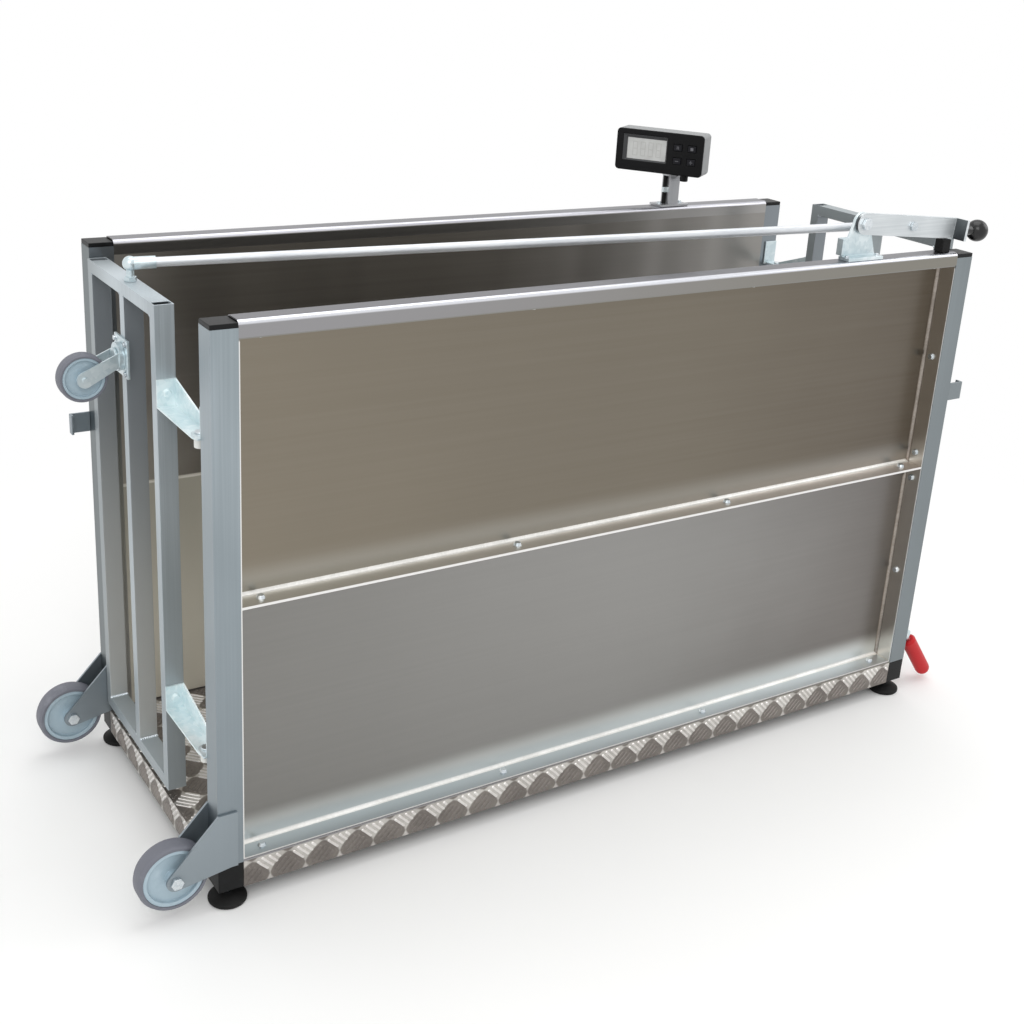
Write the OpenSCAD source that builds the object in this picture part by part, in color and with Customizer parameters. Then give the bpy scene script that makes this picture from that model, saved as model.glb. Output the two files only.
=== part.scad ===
// Livestock weighing crate: sheet walls on four posts, a tread floor on load cells,
// two bar gates, a lever and rod for the exit gate, carrying wheels and an indicator.
// X runs along the crate from the exit gate to the entry gate, Y from the near wall
// to the far wall, Z up from the ground.

/* [Frame] */
// Length over the corner posts
crate_length = 1470; // [1400:10:1540]
// Width over the corner posts
crate_width = 560; // [550:5:600]
// Side of the square corner posts
post_size = 40; // [39:0.5:42]
// Length of the corner posts
post_height = 835; // [825:5:860]
// Wall of the posts, rails and gate tubes
tube_wall = 2; // [1.5:0.5:2.5]
// Height of the lower ends of the posts above the ground
ground_gap = 75; // [73:1:82]
// Thickness of the cap on each post
cap_height = 7; // [5:0.5:8]
// Depth of the plug under each cap
plug_depth = 14; // [10:1:18]

/* [Walls] */
// Height of the top rails
top_rail_height = 24; // [22:1:28]
// Height of the top rails above the posts
rail_rise = 10; // [8:0.5:12]
// Radius of the upper edges of the top rails
rail_round = 8; // [6:0.5:10]
// Thickness of the flat bars under the lower sheets
base_bar = 3; // [2:0.5:5]
// Thickness of the wall sheets
sheet = 2; // [1.5:0.5:2.5]
// Depth of the folded edges of the sheets
fold_depth = 39; // [36:0.5:40]
// Height of the middle joint above the lower ends of the posts
joint_height = 424; // [400:2:450]
// Radius of the sheet bolts
bolt_radius = 3; // [2.5:0.5:3.5]
// Radius of the sheet bolt heads
bolt_head_radius = 7; // [6:0.5:8]
// Height of the sheet bolt heads
bolt_head_height = 5; // [4:0.5:6]
// Length of the sheet bolts under the head
bolt_reach = 11; // [10:0.5:12]
// Distance of the first sheet bolt from the end of the crate
bolt_inset = 78; // [72:1:90]
// Distance of the corner bolts from the middle joint
bolt_offset = 26; // [22:1:30]

/* [Floor] */
// Thickness of the tread plate
floor_plate = 3; // [2.5:0.5:3.5]
// Height of the folded skirt of the floor
skirt_height = 45; // [43:1:47]
// Wall of the corner blocks
block_wall = 3; // [2:0.5:4]
// Side of the load cell beams
cell_size = 26; // [24:1:28]
// Length of the load cell beams
cell_length = 130; // [120:5:150]
// Height of the pad that holds each load cell under the floor
cell_pad = 8; // [6:0.5:9]
// Distance of the feet from the outer faces of the crate
foot_inset = 22; // [21:0.5:24]
// Radius of the rubber foot
foot_radius = 30; // [27:1:32]
// Height of the rubber foot
foot_height = 16; // [14:1:18]
// Radius of the foot stud
stud_radius = 6; // [5:0.5:6.5]
// Length of the junction box under the floor
box_length = 120; // [100:5:140]
// Width of the junction box
box_width = 80; // [70:5:90]
// Height of the junction box
box_height = 30; // [26:1:34]

/* [Gates] */
// Depth of the gate tubes along the crate
gate_depth = 30; // [28:1:32]
// Width of the gate tubes
gate_tube = 20; // [18:1:22]
// Distance by which the gates stand proud of the posts
gate_proud = 5; // [4:0.5:6]
// Height of the gates
gate_height = 800; // [790:2:804]
// Height of the exit gate above the lower ends of the posts
gate_bottom = 20; // [16:1:24]
// Opening between the post and the hinge stile of the exit gate
exit_hinge_gap = 162; // [140:2:170]
// Opening between the post and the free stile of the exit gate
exit_free_gap = 7; // [6:0.5:9]
// Opening between the post and the hinge stile of the entry gate
entry_hinge_gap = 120; // [110:2:160]
// Opening between the post and the free stile of the entry gate
entry_free_gap = 12; // [6:0.5:14]
// Height by which the entry gate hangs above the exit gate
entry_rise = 40; // [32:1:48]
// Place of the middle bar across the gate
middle_share = 0.468; // [0.4:0.01:0.6]
// Height of the upper hinge arm
upper_hinge = 667; // [620:1:690]
// Height of the lower hinge arm
lower_hinge = 167; // [150:1:200]
// Distance of the hinge pin from the inner face of the post
pin_gap = 22; // [21:0.5:25]
// Distance of the hinge pin from the end of the crate
pin_inset = 8; // [7:0.5:10]
// Radius of the hinge pins
pin_radius = 5; // [4:0.5:5.5]
// Plate of the hinge arms and lugs
arm_plate = 3; // [2.5:0.5:4]
// Height of the hinge arms at the stile
arm_height = 43; // [36:1:46]
// Height of the hinge arms near the pin
arm_tip = 15; // [12:1:18]
// Radius of the plates around the pin
arm_nose = 13; // [12:0.5:14]
// Height of the hinge lugs on the posts
lug_height = 48; // [40:1:52]
// Radius of the plain bushes under the hinge arms
bush_radius = 9; // [8:0.5:10]
// Height of the plain bushes
bush_height = 14; // [10:1:16]
// Height of the gate keepers above the lower ends of the posts
keeper_height = 516; // [480:2:560]
// Side of the gate keepers
keeper_size = 34; // [28:1:38]
// Plate of the gate keepers
keeper_plate = 4; // [3:0.5:5]

/* [Wheels] */
// Radius of the carrying wheels
wheel_radius = 55; // [50:1:58]
// Width of the carrying wheels
wheel_width = 30; // [26:1:32]
// Distance of the wheel axle from the end of the crate
axle_reach = 66; // [64:1:72]
// Height of the wheel axle above the lower ends of the posts
axle_lift = 2; // [0:1:5]
// Radius of the wheel axle
axle_radius = 6; // [5:0.5:7]
// Plate of the wheel brackets
bracket_plate = 4; // [3:0.5:5]
// Height of the wheel brackets on the post
bracket_height = 94; // [85:1:100]
// Radius of the wheel brackets around the axle
bracket_nose = 15; // [14:0.5:18]
// Radius of the castor wheel
castor_radius = 37.5; // [35:0.5:40]
// Width of the castor wheel
castor_width = 24; // [20:1:26]
// Distance of the castor swivel below the top of the exit gate
castor_drop = 114; // [100:2:140]
// Distance of the castor axle from the gate
castor_reach = 64; // [62:1:70]
// Distance of the castor axle below the swivel
castor_trail = 27; // [22:1:30]
// Side of the castor plate
castor_side = 60; // [50:1:66]
// Plate of the castor
castor_plate_depth = 4; // [3:0.5:5]
// Radius of the castor swivel head
swivel_radius = 22; // [18:1:24]
// Depth of the castor swivel head
swivel_depth = 8; // [6:0.5:9]

/* [Lever] */
// Distance of the lever pivot from the entry end
lever_inset = 273; // [260:1:290]
// Height of the lever pivot above the top rail
lever_rise = 62; // [58:1:68]
// Slope of the resting lever in degrees
lever_drop = 5; // [4:0.5:6]
// Distance from the pivot to the bent end of the lever
lever_length = 238; // [230:1:250]
// Height of the lever bar
lever_height = 38; // [34:1:40]
// Thickness of the lever bar
lever_plate = 6; // [5:0.5:7]
// Length of the bent end
lever_bend = 32; // [28:1:36]
// Distance of the lever bar from the near face of the crate
lever_setback = 16; // [14:0.5:18]
// Distance from the pivot to the ball stud of the rod
rod_arm = 120; // [110:1:124]
// Radius of the ball knob
knob_radius = 20; // [18:0.5:22]
// Distance of the knob centre from the bent end
knob_reach = 40; // [36:1:44]
// Radius of the knob neck
neck_radius = 9; // [7:0.5:10]
// Radius of the control rod
rod_radius = 7.5; // [6.5:0.5:8]
// Height of the rod joint above the exit gate
joint_lift = 27; // [25:0.5:32]
// Radius of the ball on the lever
ball_radius = 11; // [10:0.5:12]
// Length of the rest block under the lever
rest_length = 20; // [18:1:30]
// Width of the rest block
rest_width = 20; // [18:1:30]

/* [Indicator] */
// Distance of the indicator pole from the entry end
pole_inset = 287; // [260:1:320]
// Side of the pole
pole_side = 25; // [22:1:28]
// Height of the pole above the top rail
pole_height = 64; // [55:1:75]
// Thickness of the plates at the foot and the head of the pole
pole_plate = 4; // [3:0.5:6]
// Width of the indicator
indicator_width = 180; // [170:1:200]
// Height of the indicator
indicator_height = 82; // [76:1:92]
// Depth of the indicator
indicator_depth = 55; // [50:1:60]
// Radius of the corners of the indicator
indicator_corner = 8; // [6:0.5:10]
// Distance of the middle of the indicator from its pole
indicator_shift = 23; // [18:1:26]
// Turn of the indicator on its pole in degrees
indicator_turn = -54; // [-70:1:-30]
// Thickness of the indicator front
front_plate = 4; // [3:0.5:5]
// Wall of the indicator housing
housing_wall = 3; // [2.5:0.5:3.5]
// Width of the keys
key_width = 16; // [14:0.5:18]
// Height of the keys
key_height = 12; // [10:0.5:14]
// Radius of the signal cable
cable_radius = 3.5; // [3:0.5:4]
// Radius of the plug under the indicator
gland_radius = 8; // [7:0.5:9]

/* [Handles] */
// Slope of the resting lift handles from the vertical in degrees
handle_slope = 37; // [34:1:40]
// Height of the handle pivot above the lower ends of the posts
handle_lift = 48; // [47:1:56]
// Distance of the handle pivot from the end of the crate
handle_reach = 14; // [13:0.5:16]
// Radius of the handle bar
handle_radius = 6; // [5:0.5:7]
// Radius of the handle grip
grip_radius = 15; // [13:0.5:16]
// Distance of the grip from the handle pivot
grip_start = 22; // [20:1:26]
// Length of the grip
grip_length = 116; // [100:1:118]

/* [Hidden] */
$fn = 64;
overrun = tube_wall;
fit = post_size / 800;
run_fit = post_size / 500;
run_gap = post_size / 125;
head_share = 0.7;
rim_share = 0.86;
side_shares = [0.55, 0.47];
lcd_left_share = 0.08;
lcd_right_share = 0.585;
lcd_low_share = 0.25;
lcd_high_share = 0.87;
key_column_shares = [0.71, 0.87];
key_row_shares = [0.34, 0.66];
plug_share = 0.29;
half_length = crate_length / 2;
half_width = crate_width / 2;
wall_length = crate_length - 2 * post_size;
sheet_line = -half_width + post_size;
bolt_line = sheet_line - fold_depth / 2;
z_post = ground_gap;
z_top = z_post + post_height;
z_rail = z_post + base_bar;
z_joint = z_post + joint_height;
z_deck = z_top + rail_rise;
z_under = z_deck - top_rail_height;
side_bolts = [
    z_joint + side_shares[0] * (z_under - z_joint),
    z_joint + bolt_offset,
    z_joint - bolt_offset,
    z_rail + side_shares[1] * (z_joint - z_rail)
];
cell_top = z_post - floor_plate - cell_pad;
cell_bottom = cell_top - cell_size;
foot_bore = foot_height / 2;
nut_height = stud_radius * 1.5;
gate_top = gate_bottom + gate_height;
pin_line = post_size + pin_gap;
lug_lift = arm_plate + run_gap;
bar_shift = middle_share * (crate_width - 2 * post_size - exit_hinge_gap - exit_free_gap);
middle_line = post_size + exit_hinge_gap + bar_shift;
axle_height = z_post + axle_lift;
bar_back = lever_setback + lever_plate;
plate_line = bar_back + lever_plate / 3;
plate_back = plate_line + lever_plate;
ball_line = plate_back + lever_plate;
ball_gap = run_gap * 1.1;
lever_x = half_length - lever_inset;
pivot_z = z_deck + lever_rise;
stop_drop = lever_height / 2 / cos(lever_drop);
stop_left = lever_height * 1.3;
stop_low = lever_rise / 7;
stop_high = lever_rise - stop_drop - stop_left * tan(lever_drop) - run_gap;
rest_end = lever_length * cos(lever_drop) - lever_height / 2;
rest_high = lever_rise - stop_drop - rest_end * tan(lever_drop) - run_gap;
rod_from = [
    lever_x + rod_arm * cos(lever_drop),
    ball_line - half_width,
    pivot_z - rod_arm * sin(lever_drop)
];
rod_to = [
    -half_length - gate_proud + gate_depth / 2,
    middle_line - half_width,
    z_post + gate_top + joint_lift
];
rod_step = rod_to - rod_from;
rod_length = norm(rod_step);
rod_turn = atan2(rod_step[1], rod_step[0]);
rod_tip = acos(rod_step[2] / rod_length);
collar_length = rod_radius * 5;
collar_radius = rod_radius * 1.3;
pole_x = half_length - pole_inset;
pole_y = half_width - post_size / 2;
z_indicator = z_deck + pole_height + run_gap;
front_y = -indicator_depth / 2;
knob_line = bar_back - (lever_bend + lever_plate) / 2;
near_reach = half_width - knob_line + knob_radius;
corner_reach = indicator_width / 2 + indicator_shift;
far_reach = pole_y - corner_reach * sin(indicator_turn) - front_y * cos(indicator_turn);
middle_y = (far_reach - near_reach) / 2;
grip_end = grip_start + grip_length;

// Touching point of the line from p to the circle round c
function touch(p, c, r, side) =
    let (d = norm(c - p), turn = side * asin(r / d), way = atan2(c[1] - p[1], c[0] - p[0]) + turn)
    p + sqrt(d * d - r * r) * [cos(way), sin(way)];

// Places a piece drawn for the near left corner at any corner
module at_corner(sx, sy) {
    mirror([sx > 0 ? 1 : 0, 0, 0])
        mirror([0, sy > 0 ? 1 : 0, 0])
            translate([-half_length, -half_width, 0])
                children();
}

module at_corners() {
    for (sx = [-1, 1], sy = [-1, 1])
        at_corner(sx, sy)
            children();
}

// Places a piece drawn for the exit gate
module at_exit() {
    translate([-half_length, -half_width, z_post])
        children();
}

// Places a piece drawn for the exit gate at the entry gate
module at_entry() {
    rotate([0, 0, 180])
        translate([-half_length, -half_width, z_post + entry_rise])
            children();
}

module both_walls() {
    children();
    mirror([0, 1, 0])
        children();
}

// A bolt or its hole along Y
module along_y(start, radius, length, sides = $fn) {
    translate([0, start, 0])
        rotate([-90, 0, 0])
            cylinder(r = radius, h = length, $fn = sides);
}

// Sheet bolt with its head on the plane z = 0, or its hole
module sheet_bolt(hole) {
    if (hole) {
        translate([0, 0, -bolt_reach])
            cylinder(r = bolt_radius + fit, h = bolt_reach + overrun);
    } else {
        translate([0, 0, -bolt_reach])
            cylinder(r = bolt_radius, h = bolt_reach);
        cylinder(r1 = bolt_head_radius, r2 = bolt_head_radius * head_share, h = bolt_head_height);
    }
}

// All sheet bolts of the near wall
module wall_bolts(hole) {
    for (i = [0 : 3]) {
        x = -half_length + bolt_inset + i * (crate_length - 2 * bolt_inset) / 3;
        translate([x, bolt_line, z_joint + sheet])
            sheet_bolt(hole);
        if (!hole)
            translate([x, bolt_line, z_joint - sheet - bolt_head_height])
                cylinder(r = bolt_head_radius, h = bolt_head_height, $fn = 6);
        translate([x, bolt_line, z_rail + sheet])
            sheet_bolt(hole);
        translate([x, bolt_line, z_under - sheet])
            rotate([180, 0, 0])
                sheet_bolt(hole);
    }
    for (sx = [-1, 1], z = side_bolts)
        translate([sx * (wall_length / 2 - sheet), bolt_line, z])
            rotate([0, -sx * 90, 0])
                sheet_bolt(hole);
}

module corner_post(sx, sy) {
    inner = post_size - 2 * tube_wall;
    color("lightsteelblue")
        mirror([0, sy > 0 ? 1 : 0, 0])
            difference() {
                at_corner(sx, -1)
                    translate([0, 0, z_post])
                        difference() {
                            cube([post_size, post_size, post_height]);
                            translate([tube_wall, tube_wall, -overrun])
                                cube([inner, inner, post_height + 2 * overrun]);
                        }
                wall_bolts(true);
            }
}

module post_near_left() {
    corner_post(-1, -1);
}

module post_far_left() {
    corner_post(-1, 1);
}

module post_near_right() {
    corner_post(1, -1);
}

module post_far_right() {
    corner_post(1, 1);
}

module post_caps() {
    inner = post_size - 2 * tube_wall - 2 * fit;
    color("black")
        at_corners()
            translate([0, 0, z_top]) {
                cube([post_size, post_size, cap_height]);
                translate([tube_wall + fit, tube_wall + fit, -plug_depth])
                    cube([inner, inner, plug_depth]);
            }
}

module corner_blocks() {
    color("black")
        at_corners()
            translate([0, 0, z_post - skirt_height])
                difference() {
                    cube([post_size, post_size, skirt_height]);
                    translate([block_wall, block_wall, -overrun])
                        cube([post_size, post_size, skirt_height - block_wall + overrun]);
                }
}

// Section of a top rail with its two upper edges rounded
module rail_section(width, high, edge) {
    square([width, high - edge]);
    translate([edge, 0])
        square([width - 2 * edge, high]);
    for (y = [edge, width - edge])
        translate([y, high - edge])
            circle(r = edge);
}

module top_rails() {
    width = post_size - 2 * tube_wall;
    high = top_rail_height - 2 * tube_wall;
    color("gainsboro")
        both_walls()
            difference() {
                translate([-wall_length / 2, -half_width, z_under])
                    rotate([90, 0, 90])
                        difference() {
                            linear_extrude(wall_length)
                                rail_section(post_size, top_rail_height, rail_round);
                            translate([tube_wall, tube_wall, -overrun])
                                linear_extrude(wall_length + 2 * overrun)
                                    rail_section(width, high, rail_round - tube_wall);
                        }
                wall_bolts(true);
            }
}

// Flat bars between the floor and the lower sheets
module bottom_rails() {
    color("gainsboro")
        both_walls()
            difference() {
                translate([-wall_length / 2, -half_width, z_post])
                    cube([wall_length, post_size, base_bar]);
                wall_bolts(true);
            }
}

// Sheet of the near wall with its edges folded outwards
module folded_sheet(low, high) {
    difference() {
        translate([-wall_length / 2, sheet_line - fold_depth, low])
            difference() {
                cube([wall_length, fold_depth, high - low]);
                translate([sheet, -overrun, sheet])
                    cube([wall_length - 2 * sheet, fold_depth - sheet + overrun, high - low - 2 * sheet]);
            }
        wall_bolts(true);
    }
}

module near_upper_sheet() {
    color("darkgray")
        folded_sheet(z_joint, z_under);
}

module near_lower_sheet() {
    color("darkgray")
        folded_sheet(z_rail, z_joint);
}

module far_upper_sheet() {
    color("darkgray")
        mirror([0, 1, 0])
            folded_sheet(z_joint, z_under);
}

module far_lower_sheet() {
    color("darkgray")
        mirror([0, 1, 0])
            folded_sheet(z_rail, z_joint);
}

module sheet_bolts() {
    color("silver")
        both_walls()
            wall_bolts(false);
}

// Tread plate folded down on all four sides, notched for the corner blocks
module floor_pan() {
    notch = post_size + run_gap;
    low = z_post - skirt_height;
    inner_length = crate_length - 2 * floor_plate;
    inner_width = crate_width - 2 * floor_plate;
    color("silver")
        difference() {
            translate([-half_length, -half_width, low])
                cube([crate_length, crate_width, skirt_height]);
            translate([-inner_length / 2, -inner_width / 2, low - overrun])
                cube([inner_length, inner_width, skirt_height - floor_plate + overrun]);
            at_corners()
                translate([-overrun, -overrun, low - overrun])
                    cube([notch + overrun, notch + overrun, skirt_height + 2 * overrun]);
            both_walls()
                wall_bolts(true);
        }
}

// Shear beams, each held under the floor at its inner end with a foot at its outer end
module load_cells() {
    pad_length = cell_length / 3;
    start = foot_inset - cell_size / 2;
    color("lightgray")
        at_corners()
            difference() {
                union() {
                    translate([start, start, cell_bottom])
                        cube([cell_length, cell_size, cell_size]);
                    translate([start + cell_length - pad_length, start, cell_top])
                        cube([pad_length, cell_size, cell_pad]);
                }
                translate([foot_inset, foot_inset, cell_bottom - overrun])
                    cylinder(r = stud_radius + fit, h = cell_size + 2 * overrun);
            }
}

module junction_box() {
    color("dimgray")
        translate([-box_length / 2, -box_width / 2, z_post - floor_plate - box_height])
            cube([box_length, box_width, box_height]);
}

module foot_studs() {
    color("silver")
        at_corners()
            translate([foot_inset, foot_inset, 0]) {
                translate([0, 0, foot_bore])
                    cylinder(r = stud_radius, h = cell_top - foot_bore);
                translate([0, 0, cell_bottom - nut_height])
                    cylinder(r = stud_radius * 1.7, h = nut_height, $fn = 6);
            }
}

module foot_pads() {
    neck = stud_radius * 2;
    color("black")
        at_corners()
            translate([foot_inset, foot_inset, 0])
                rotate_extrude()
                    polygon([
                        [0, 0],
                        [foot_radius * 0.93, 0],
                        [foot_radius, foot_height / 6],
                        [foot_radius, foot_height / 2],
                        [neck, foot_height],
                        [stud_radius + fit, foot_height],
                        [stud_radius + fit, foot_bore],
                        [0, foot_bore]
                    ]);
}

// Bracket plate whose lower edge leaves the post at the heel
module bracket_shape(heel_x) {
    axle = [-axle_reach, axle_height];
    peak = [0, z_post + bracket_height];
    heel = [heel_x, z_post];
    back = post_size * 0.75;
    translate(axle)
        circle(r = bracket_nose);
    polygon([
        peak,
        [back, z_post + bracket_height],
        [back, z_post],
        heel,
        touch(heel, axle, bracket_nose, 1),
        axle,
        touch(peak, axle, bracket_nose, -1)
    ]);
}

module wheel_brackets() {
    color("lightsteelblue")
        for (sy = [-1, 1], y = [0, post_size + bracket_plate])
            at_corner(-1, sy)
                difference() {
                    translate([0, y, 0])
                        rotate([90, 0, 0])
                            linear_extrude(bracket_plate)
                                bracket_shape(y > 0 ? -run_gap : post_size / 2);
                    translate([-axle_reach, 0, axle_height])
                        along_y(y - bracket_plate - overrun, axle_radius + fit, bracket_plate + 2 * overrun);
                }
}

// Axle bolts with a hexagon head outside and a nut inside
module wheel_axles() {
    head = axle_radius;
    outer = post_size + bracket_plate;
    color("silver")
        for (sy = [-1, 1])
            at_corner(-1, sy)
                translate([-axle_reach, 0, axle_height]) {
                    along_y(-bracket_plate, axle_radius, outer + bracket_plate + head);
                    along_y(-bracket_plate - head, axle_radius * 1.7, head, 6);
                    along_y(outer, axle_radius * 1.7, head, 6);
                }
}

// Rim with a hub that fills the space between its two plates
module wheel_rim(radius, width, hub_length, bore) {
    rim = radius * rim_share;
    rotate([90, 0, 0])
        difference() {
            union() {
                cylinder(r = rim, h = width * 0.9, center = true);
                cylinder(r = bore * 2.2, h = hub_length, center = true);
            }
            for (side = [0, 180])
                rotate([side, 0, 0])
                    translate([0, 0, width * 0.25])
                        rotate_extrude()
                            polygon([
                                [bore * 2.2, 0],
                                [rim * 0.86, 0],
                                [rim * 0.9, width],
                                [bore * 2.2, width]
                            ]);
            cylinder(r = bore + run_fit, h = hub_length + 2 * overrun, center = true);
        }
}

module wheel_tyre(radius, width) {
    rim = radius * rim_share + fit;
    rotate([90, 0, 0])
        rotate_extrude()
            polygon([
                [rim, -width / 2],
                [radius * 0.95, -width / 2],
                [radius, -width * 0.3],
                [radius, width * 0.3],
                [radius * 0.95, width / 2],
                [rim, width / 2]
            ]);
}

module at_wheel(sy) {
    at_corner(-1, sy)
        translate([-axle_reach, post_size / 2, axle_height])
            children();
}

module near_wheel_rim() {
    color("slategray")
        at_wheel(-1)
            wheel_rim(wheel_radius, wheel_width, post_size - 2 * run_gap, axle_radius);
}

module near_wheel_tyre() {
    color("gray")
        at_wheel(-1)
            wheel_tyre(wheel_radius, wheel_width);
}

module far_wheel_rim() {
    color("slategray")
        at_wheel(1)
            wheel_rim(wheel_radius, wheel_width, post_size - 2 * run_gap, axle_radius);
}

module far_wheel_tyre() {
    color("gray")
        at_wheel(1)
            wheel_tyre(wheel_radius, wheel_width);
}

module at_hinges() {
    for (z = [lower_hinge, upper_hinge])
        translate([0, 0, z])
            children();
}

// Lug on the post that holds the hinge pin above the hinge arm
module hinge_lug() {
    difference() {
        translate([0, 0, lug_lift]) {
            translate([0, post_size, 0])
                cube([gate_depth, arm_plate, lug_height]);
            linear_extrude(arm_plate) {
                translate([pin_inset - arm_nose, post_size])
                    square([2 * arm_nose, pin_gap]);
                translate([pin_inset, pin_line])
                    circle(r = arm_nose);
            }
        }
        translate([pin_inset, pin_line, 0])
            cylinder(r = pin_radius + fit, h = lug_lift + arm_plate + overrun);
    }
}

module hinge_lugs() {
    color("silver") {
        at_exit()
            at_hinges()
                hinge_lug();
        at_entry()
            at_hinges()
                hinge_lug();
    }
}

module hinge_pin() {
    translate([pin_inset, pin_line, -bush_height - run_gap])
        cylinder(r = pin_radius, h = bush_height + run_gap + lug_lift + arm_plate);
    translate([pin_inset, pin_line, lug_lift + arm_plate])
        cylinder(r = pin_radius * 1.6, h = arm_plate);
}

module hinge_pins() {
    color("silver") {
        at_exit()
            at_hinges()
                hinge_pin();
        at_entry()
            at_hinges()
                hinge_pin();
    }
}

module hinge_bush() {
    translate([pin_inset, pin_line, -bush_height - run_gap])
        difference() {
            cylinder(r = bush_radius, h = bush_height);
            translate([0, 0, -overrun])
                cylinder(r = pin_radius + fit, h = bush_height + 2 * overrun);
        }
}

module hinge_bushes() {
    color("white") {
        at_exit()
            at_hinges()
                hinge_bush();
        at_entry()
            at_hinges()
                hinge_bush();
    }
}

// Bent plate on the post beside the free stile
module gate_keeper() {
    line = crate_width - keeper_plate;
    translate([-keeper_size, line, keeper_height])
        cube([keeper_size, keeper_plate, keeper_size]);
    translate([-keeper_size, line - post_size / 4, keeper_height])
        cube([keeper_plate, post_size / 4, keeper_size]);
}

module gate_keepers() {
    color("silver") {
        at_exit()
            gate_keeper();
        at_entry()
            gate_keeper();
    }
}

// Welded gate of three bars between two rails, its stiles open at the top
module gate_frame(hinge_gap, free_gap) {
    start = post_size + hinge_gap;
    width = crate_width - post_size - free_gap - start;
    inner_depth = gate_depth - 2 * tube_wall;
    inner = gate_tube - 2 * tube_wall;
    bars = [0, middle_share * width - gate_tube / 2, width - gate_tube];
    translate([-gate_proud, start, gate_bottom])
        difference() {
            union() {
                for (z = [0, gate_height - gate_tube])
                    translate([0, 0, z])
                        cube([gate_depth, width, gate_tube]);
                for (y = bars)
                    translate([0, y, 0])
                        cube([gate_depth, gate_tube, gate_height]);
            }
            for (z = [0, gate_height - gate_tube])
                translate([tube_wall, tube_wall, z + tube_wall])
                    cube([inner_depth, width - 2 * tube_wall, inner]);
            translate([tube_wall, bars[1] + tube_wall, tube_wall])
                cube([inner_depth, inner, gate_height - 2 * tube_wall]);
            for (y = [bars[0], bars[2]])
                translate([tube_wall, y + tube_wall, tube_wall])
                    cube([inner_depth, inner, gate_height]);
        }
}

// Folded arm from the hinge stile to the pin
module hinge_arm(hinge_gap) {
    start = post_size + hinge_gap;
    web = pin_line + arm_nose * 1.6;
    inside = gate_depth - gate_proud;
    difference() {
        union() {
            translate([-gate_proud, start - arm_plate, 0])
                cube([gate_depth, arm_plate, arm_height]);
            linear_extrude(arm_plate) {
                translate([-gate_proud, pin_line])
                    square([gate_depth, start - pin_line]);
                translate([pin_inset, pin_line])
                    circle(r = arm_nose);
            }
            translate([inside - arm_plate, 0, 0])
                rotate([90, 0, 90])
                    linear_extrude(arm_plate)
                        polygon([[web, 0], [start, 0], [start, arm_height], [web, arm_tip]]);
            translate([inside / 2 - gate_proud / 2, start - arm_plate, arm_height / 2])
                rotate([90, 0, 0])
                    cylinder(r1 = bolt_head_radius, r2 = bolt_head_radius * head_share, h = bolt_head_height);
        }
        translate([pin_inset, pin_line, -overrun])
            cylinder(r = pin_radius + run_fit, h = arm_plate + 2 * overrun);
    }
}

module exit_gate_frame() {
    color("lightsteelblue")
        at_exit()
            gate_frame(exit_hinge_gap, exit_free_gap);
}

module exit_hinge_arms() {
    color("silver")
        at_exit()
            at_hinges()
                hinge_arm(exit_hinge_gap);
}

module entry_gate_frame() {
    color("lightsteelblue")
        at_entry()
            gate_frame(entry_hinge_gap, entry_free_gap);
}

module entry_hinge_arms() {
    color("silver")
        at_entry()
            at_hinges()
                hinge_arm(entry_hinge_gap);
}

// Swivel of the castor with its axis along X on the outer face of the exit gate
module at_swivel() {
    at_exit()
        translate([-gate_proud, middle_line, gate_top - castor_drop])
            children();
}

// Plate with a headed stem for the swivel
module castor_plate() {
    stem = swivel_radius / 2;
    reach = castor_plate_depth + swivel_depth + 2 * run_gap;
    color("silver")
        at_swivel() {
            translate([-castor_plate_depth, -castor_side / 2, -castor_side / 2])
                cube([castor_plate_depth, castor_side, castor_side]);
            translate([-reach, 0, 0])
                rotate([0, 90, 0])
                    cylinder(r = stem, h = reach);
            translate([-reach - castor_plate_depth, 0, 0])
                rotate([0, 90, 0])
                    cylinder(r = stem * 1.25, h = castor_plate_depth);
        }
}

module castor_fork() {
    stem = swivel_radius / 2;
    base = castor_plate_depth + run_gap;
    cheek = castor_plate_depth * 0.75;
    inside = castor_width / 2 + cheek;
    color("silver")
        at_swivel() {
            difference() {
                translate([-base - swivel_depth, 0, 0])
                    rotate([0, 90, 0])
                        cylinder(r = swivel_radius, h = swivel_depth);
                translate([-base - swivel_depth - overrun, 0, 0])
                    rotate([0, 90, 0])
                        cylinder(r = stem + run_fit, h = swivel_depth + 2 * overrun);
            }
            for (side = [-1, 1])
                translate([0, side * (inside + cheek / 2) + cheek / 2, 0])
                    rotate([90, 0, 0])
                        linear_extrude(cheek) {
                            translate([-castor_reach, -castor_trail])
                                circle(r = castor_radius / 3);
                            polygon([
                                [-base - swivel_depth / 2, swivel_radius / 2],
                                touch([-base - swivel_depth / 2, swivel_radius / 2],
                                    [-castor_reach, -castor_trail], castor_radius / 3, -1),
                                [-castor_reach, -castor_trail],
                                touch([-base - swivel_depth / 2, -swivel_radius / 2],
                                    [-castor_reach, -castor_trail], castor_radius / 3, 1),
                                [-base - swivel_depth / 2, -swivel_radius / 2]
                            ]);
                        }
            translate([-castor_reach, 0, -castor_trail])
                along_y(-inside - 2 * cheek, axle_radius / 1.5, 2 * inside + 4 * cheek);
        }
}

module castor_rim() {
    color("slategray")
        at_swivel()
            translate([-castor_reach, 0, -castor_trail])
                wheel_rim(castor_radius, castor_width, castor_width + castor_plate_depth, axle_radius / 1.5);
}

module castor_tyre() {
    color("gray")
        at_swivel()
            translate([-castor_reach, 0, -castor_trail])
                wheel_tyre(castor_radius, castor_width);
}

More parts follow.
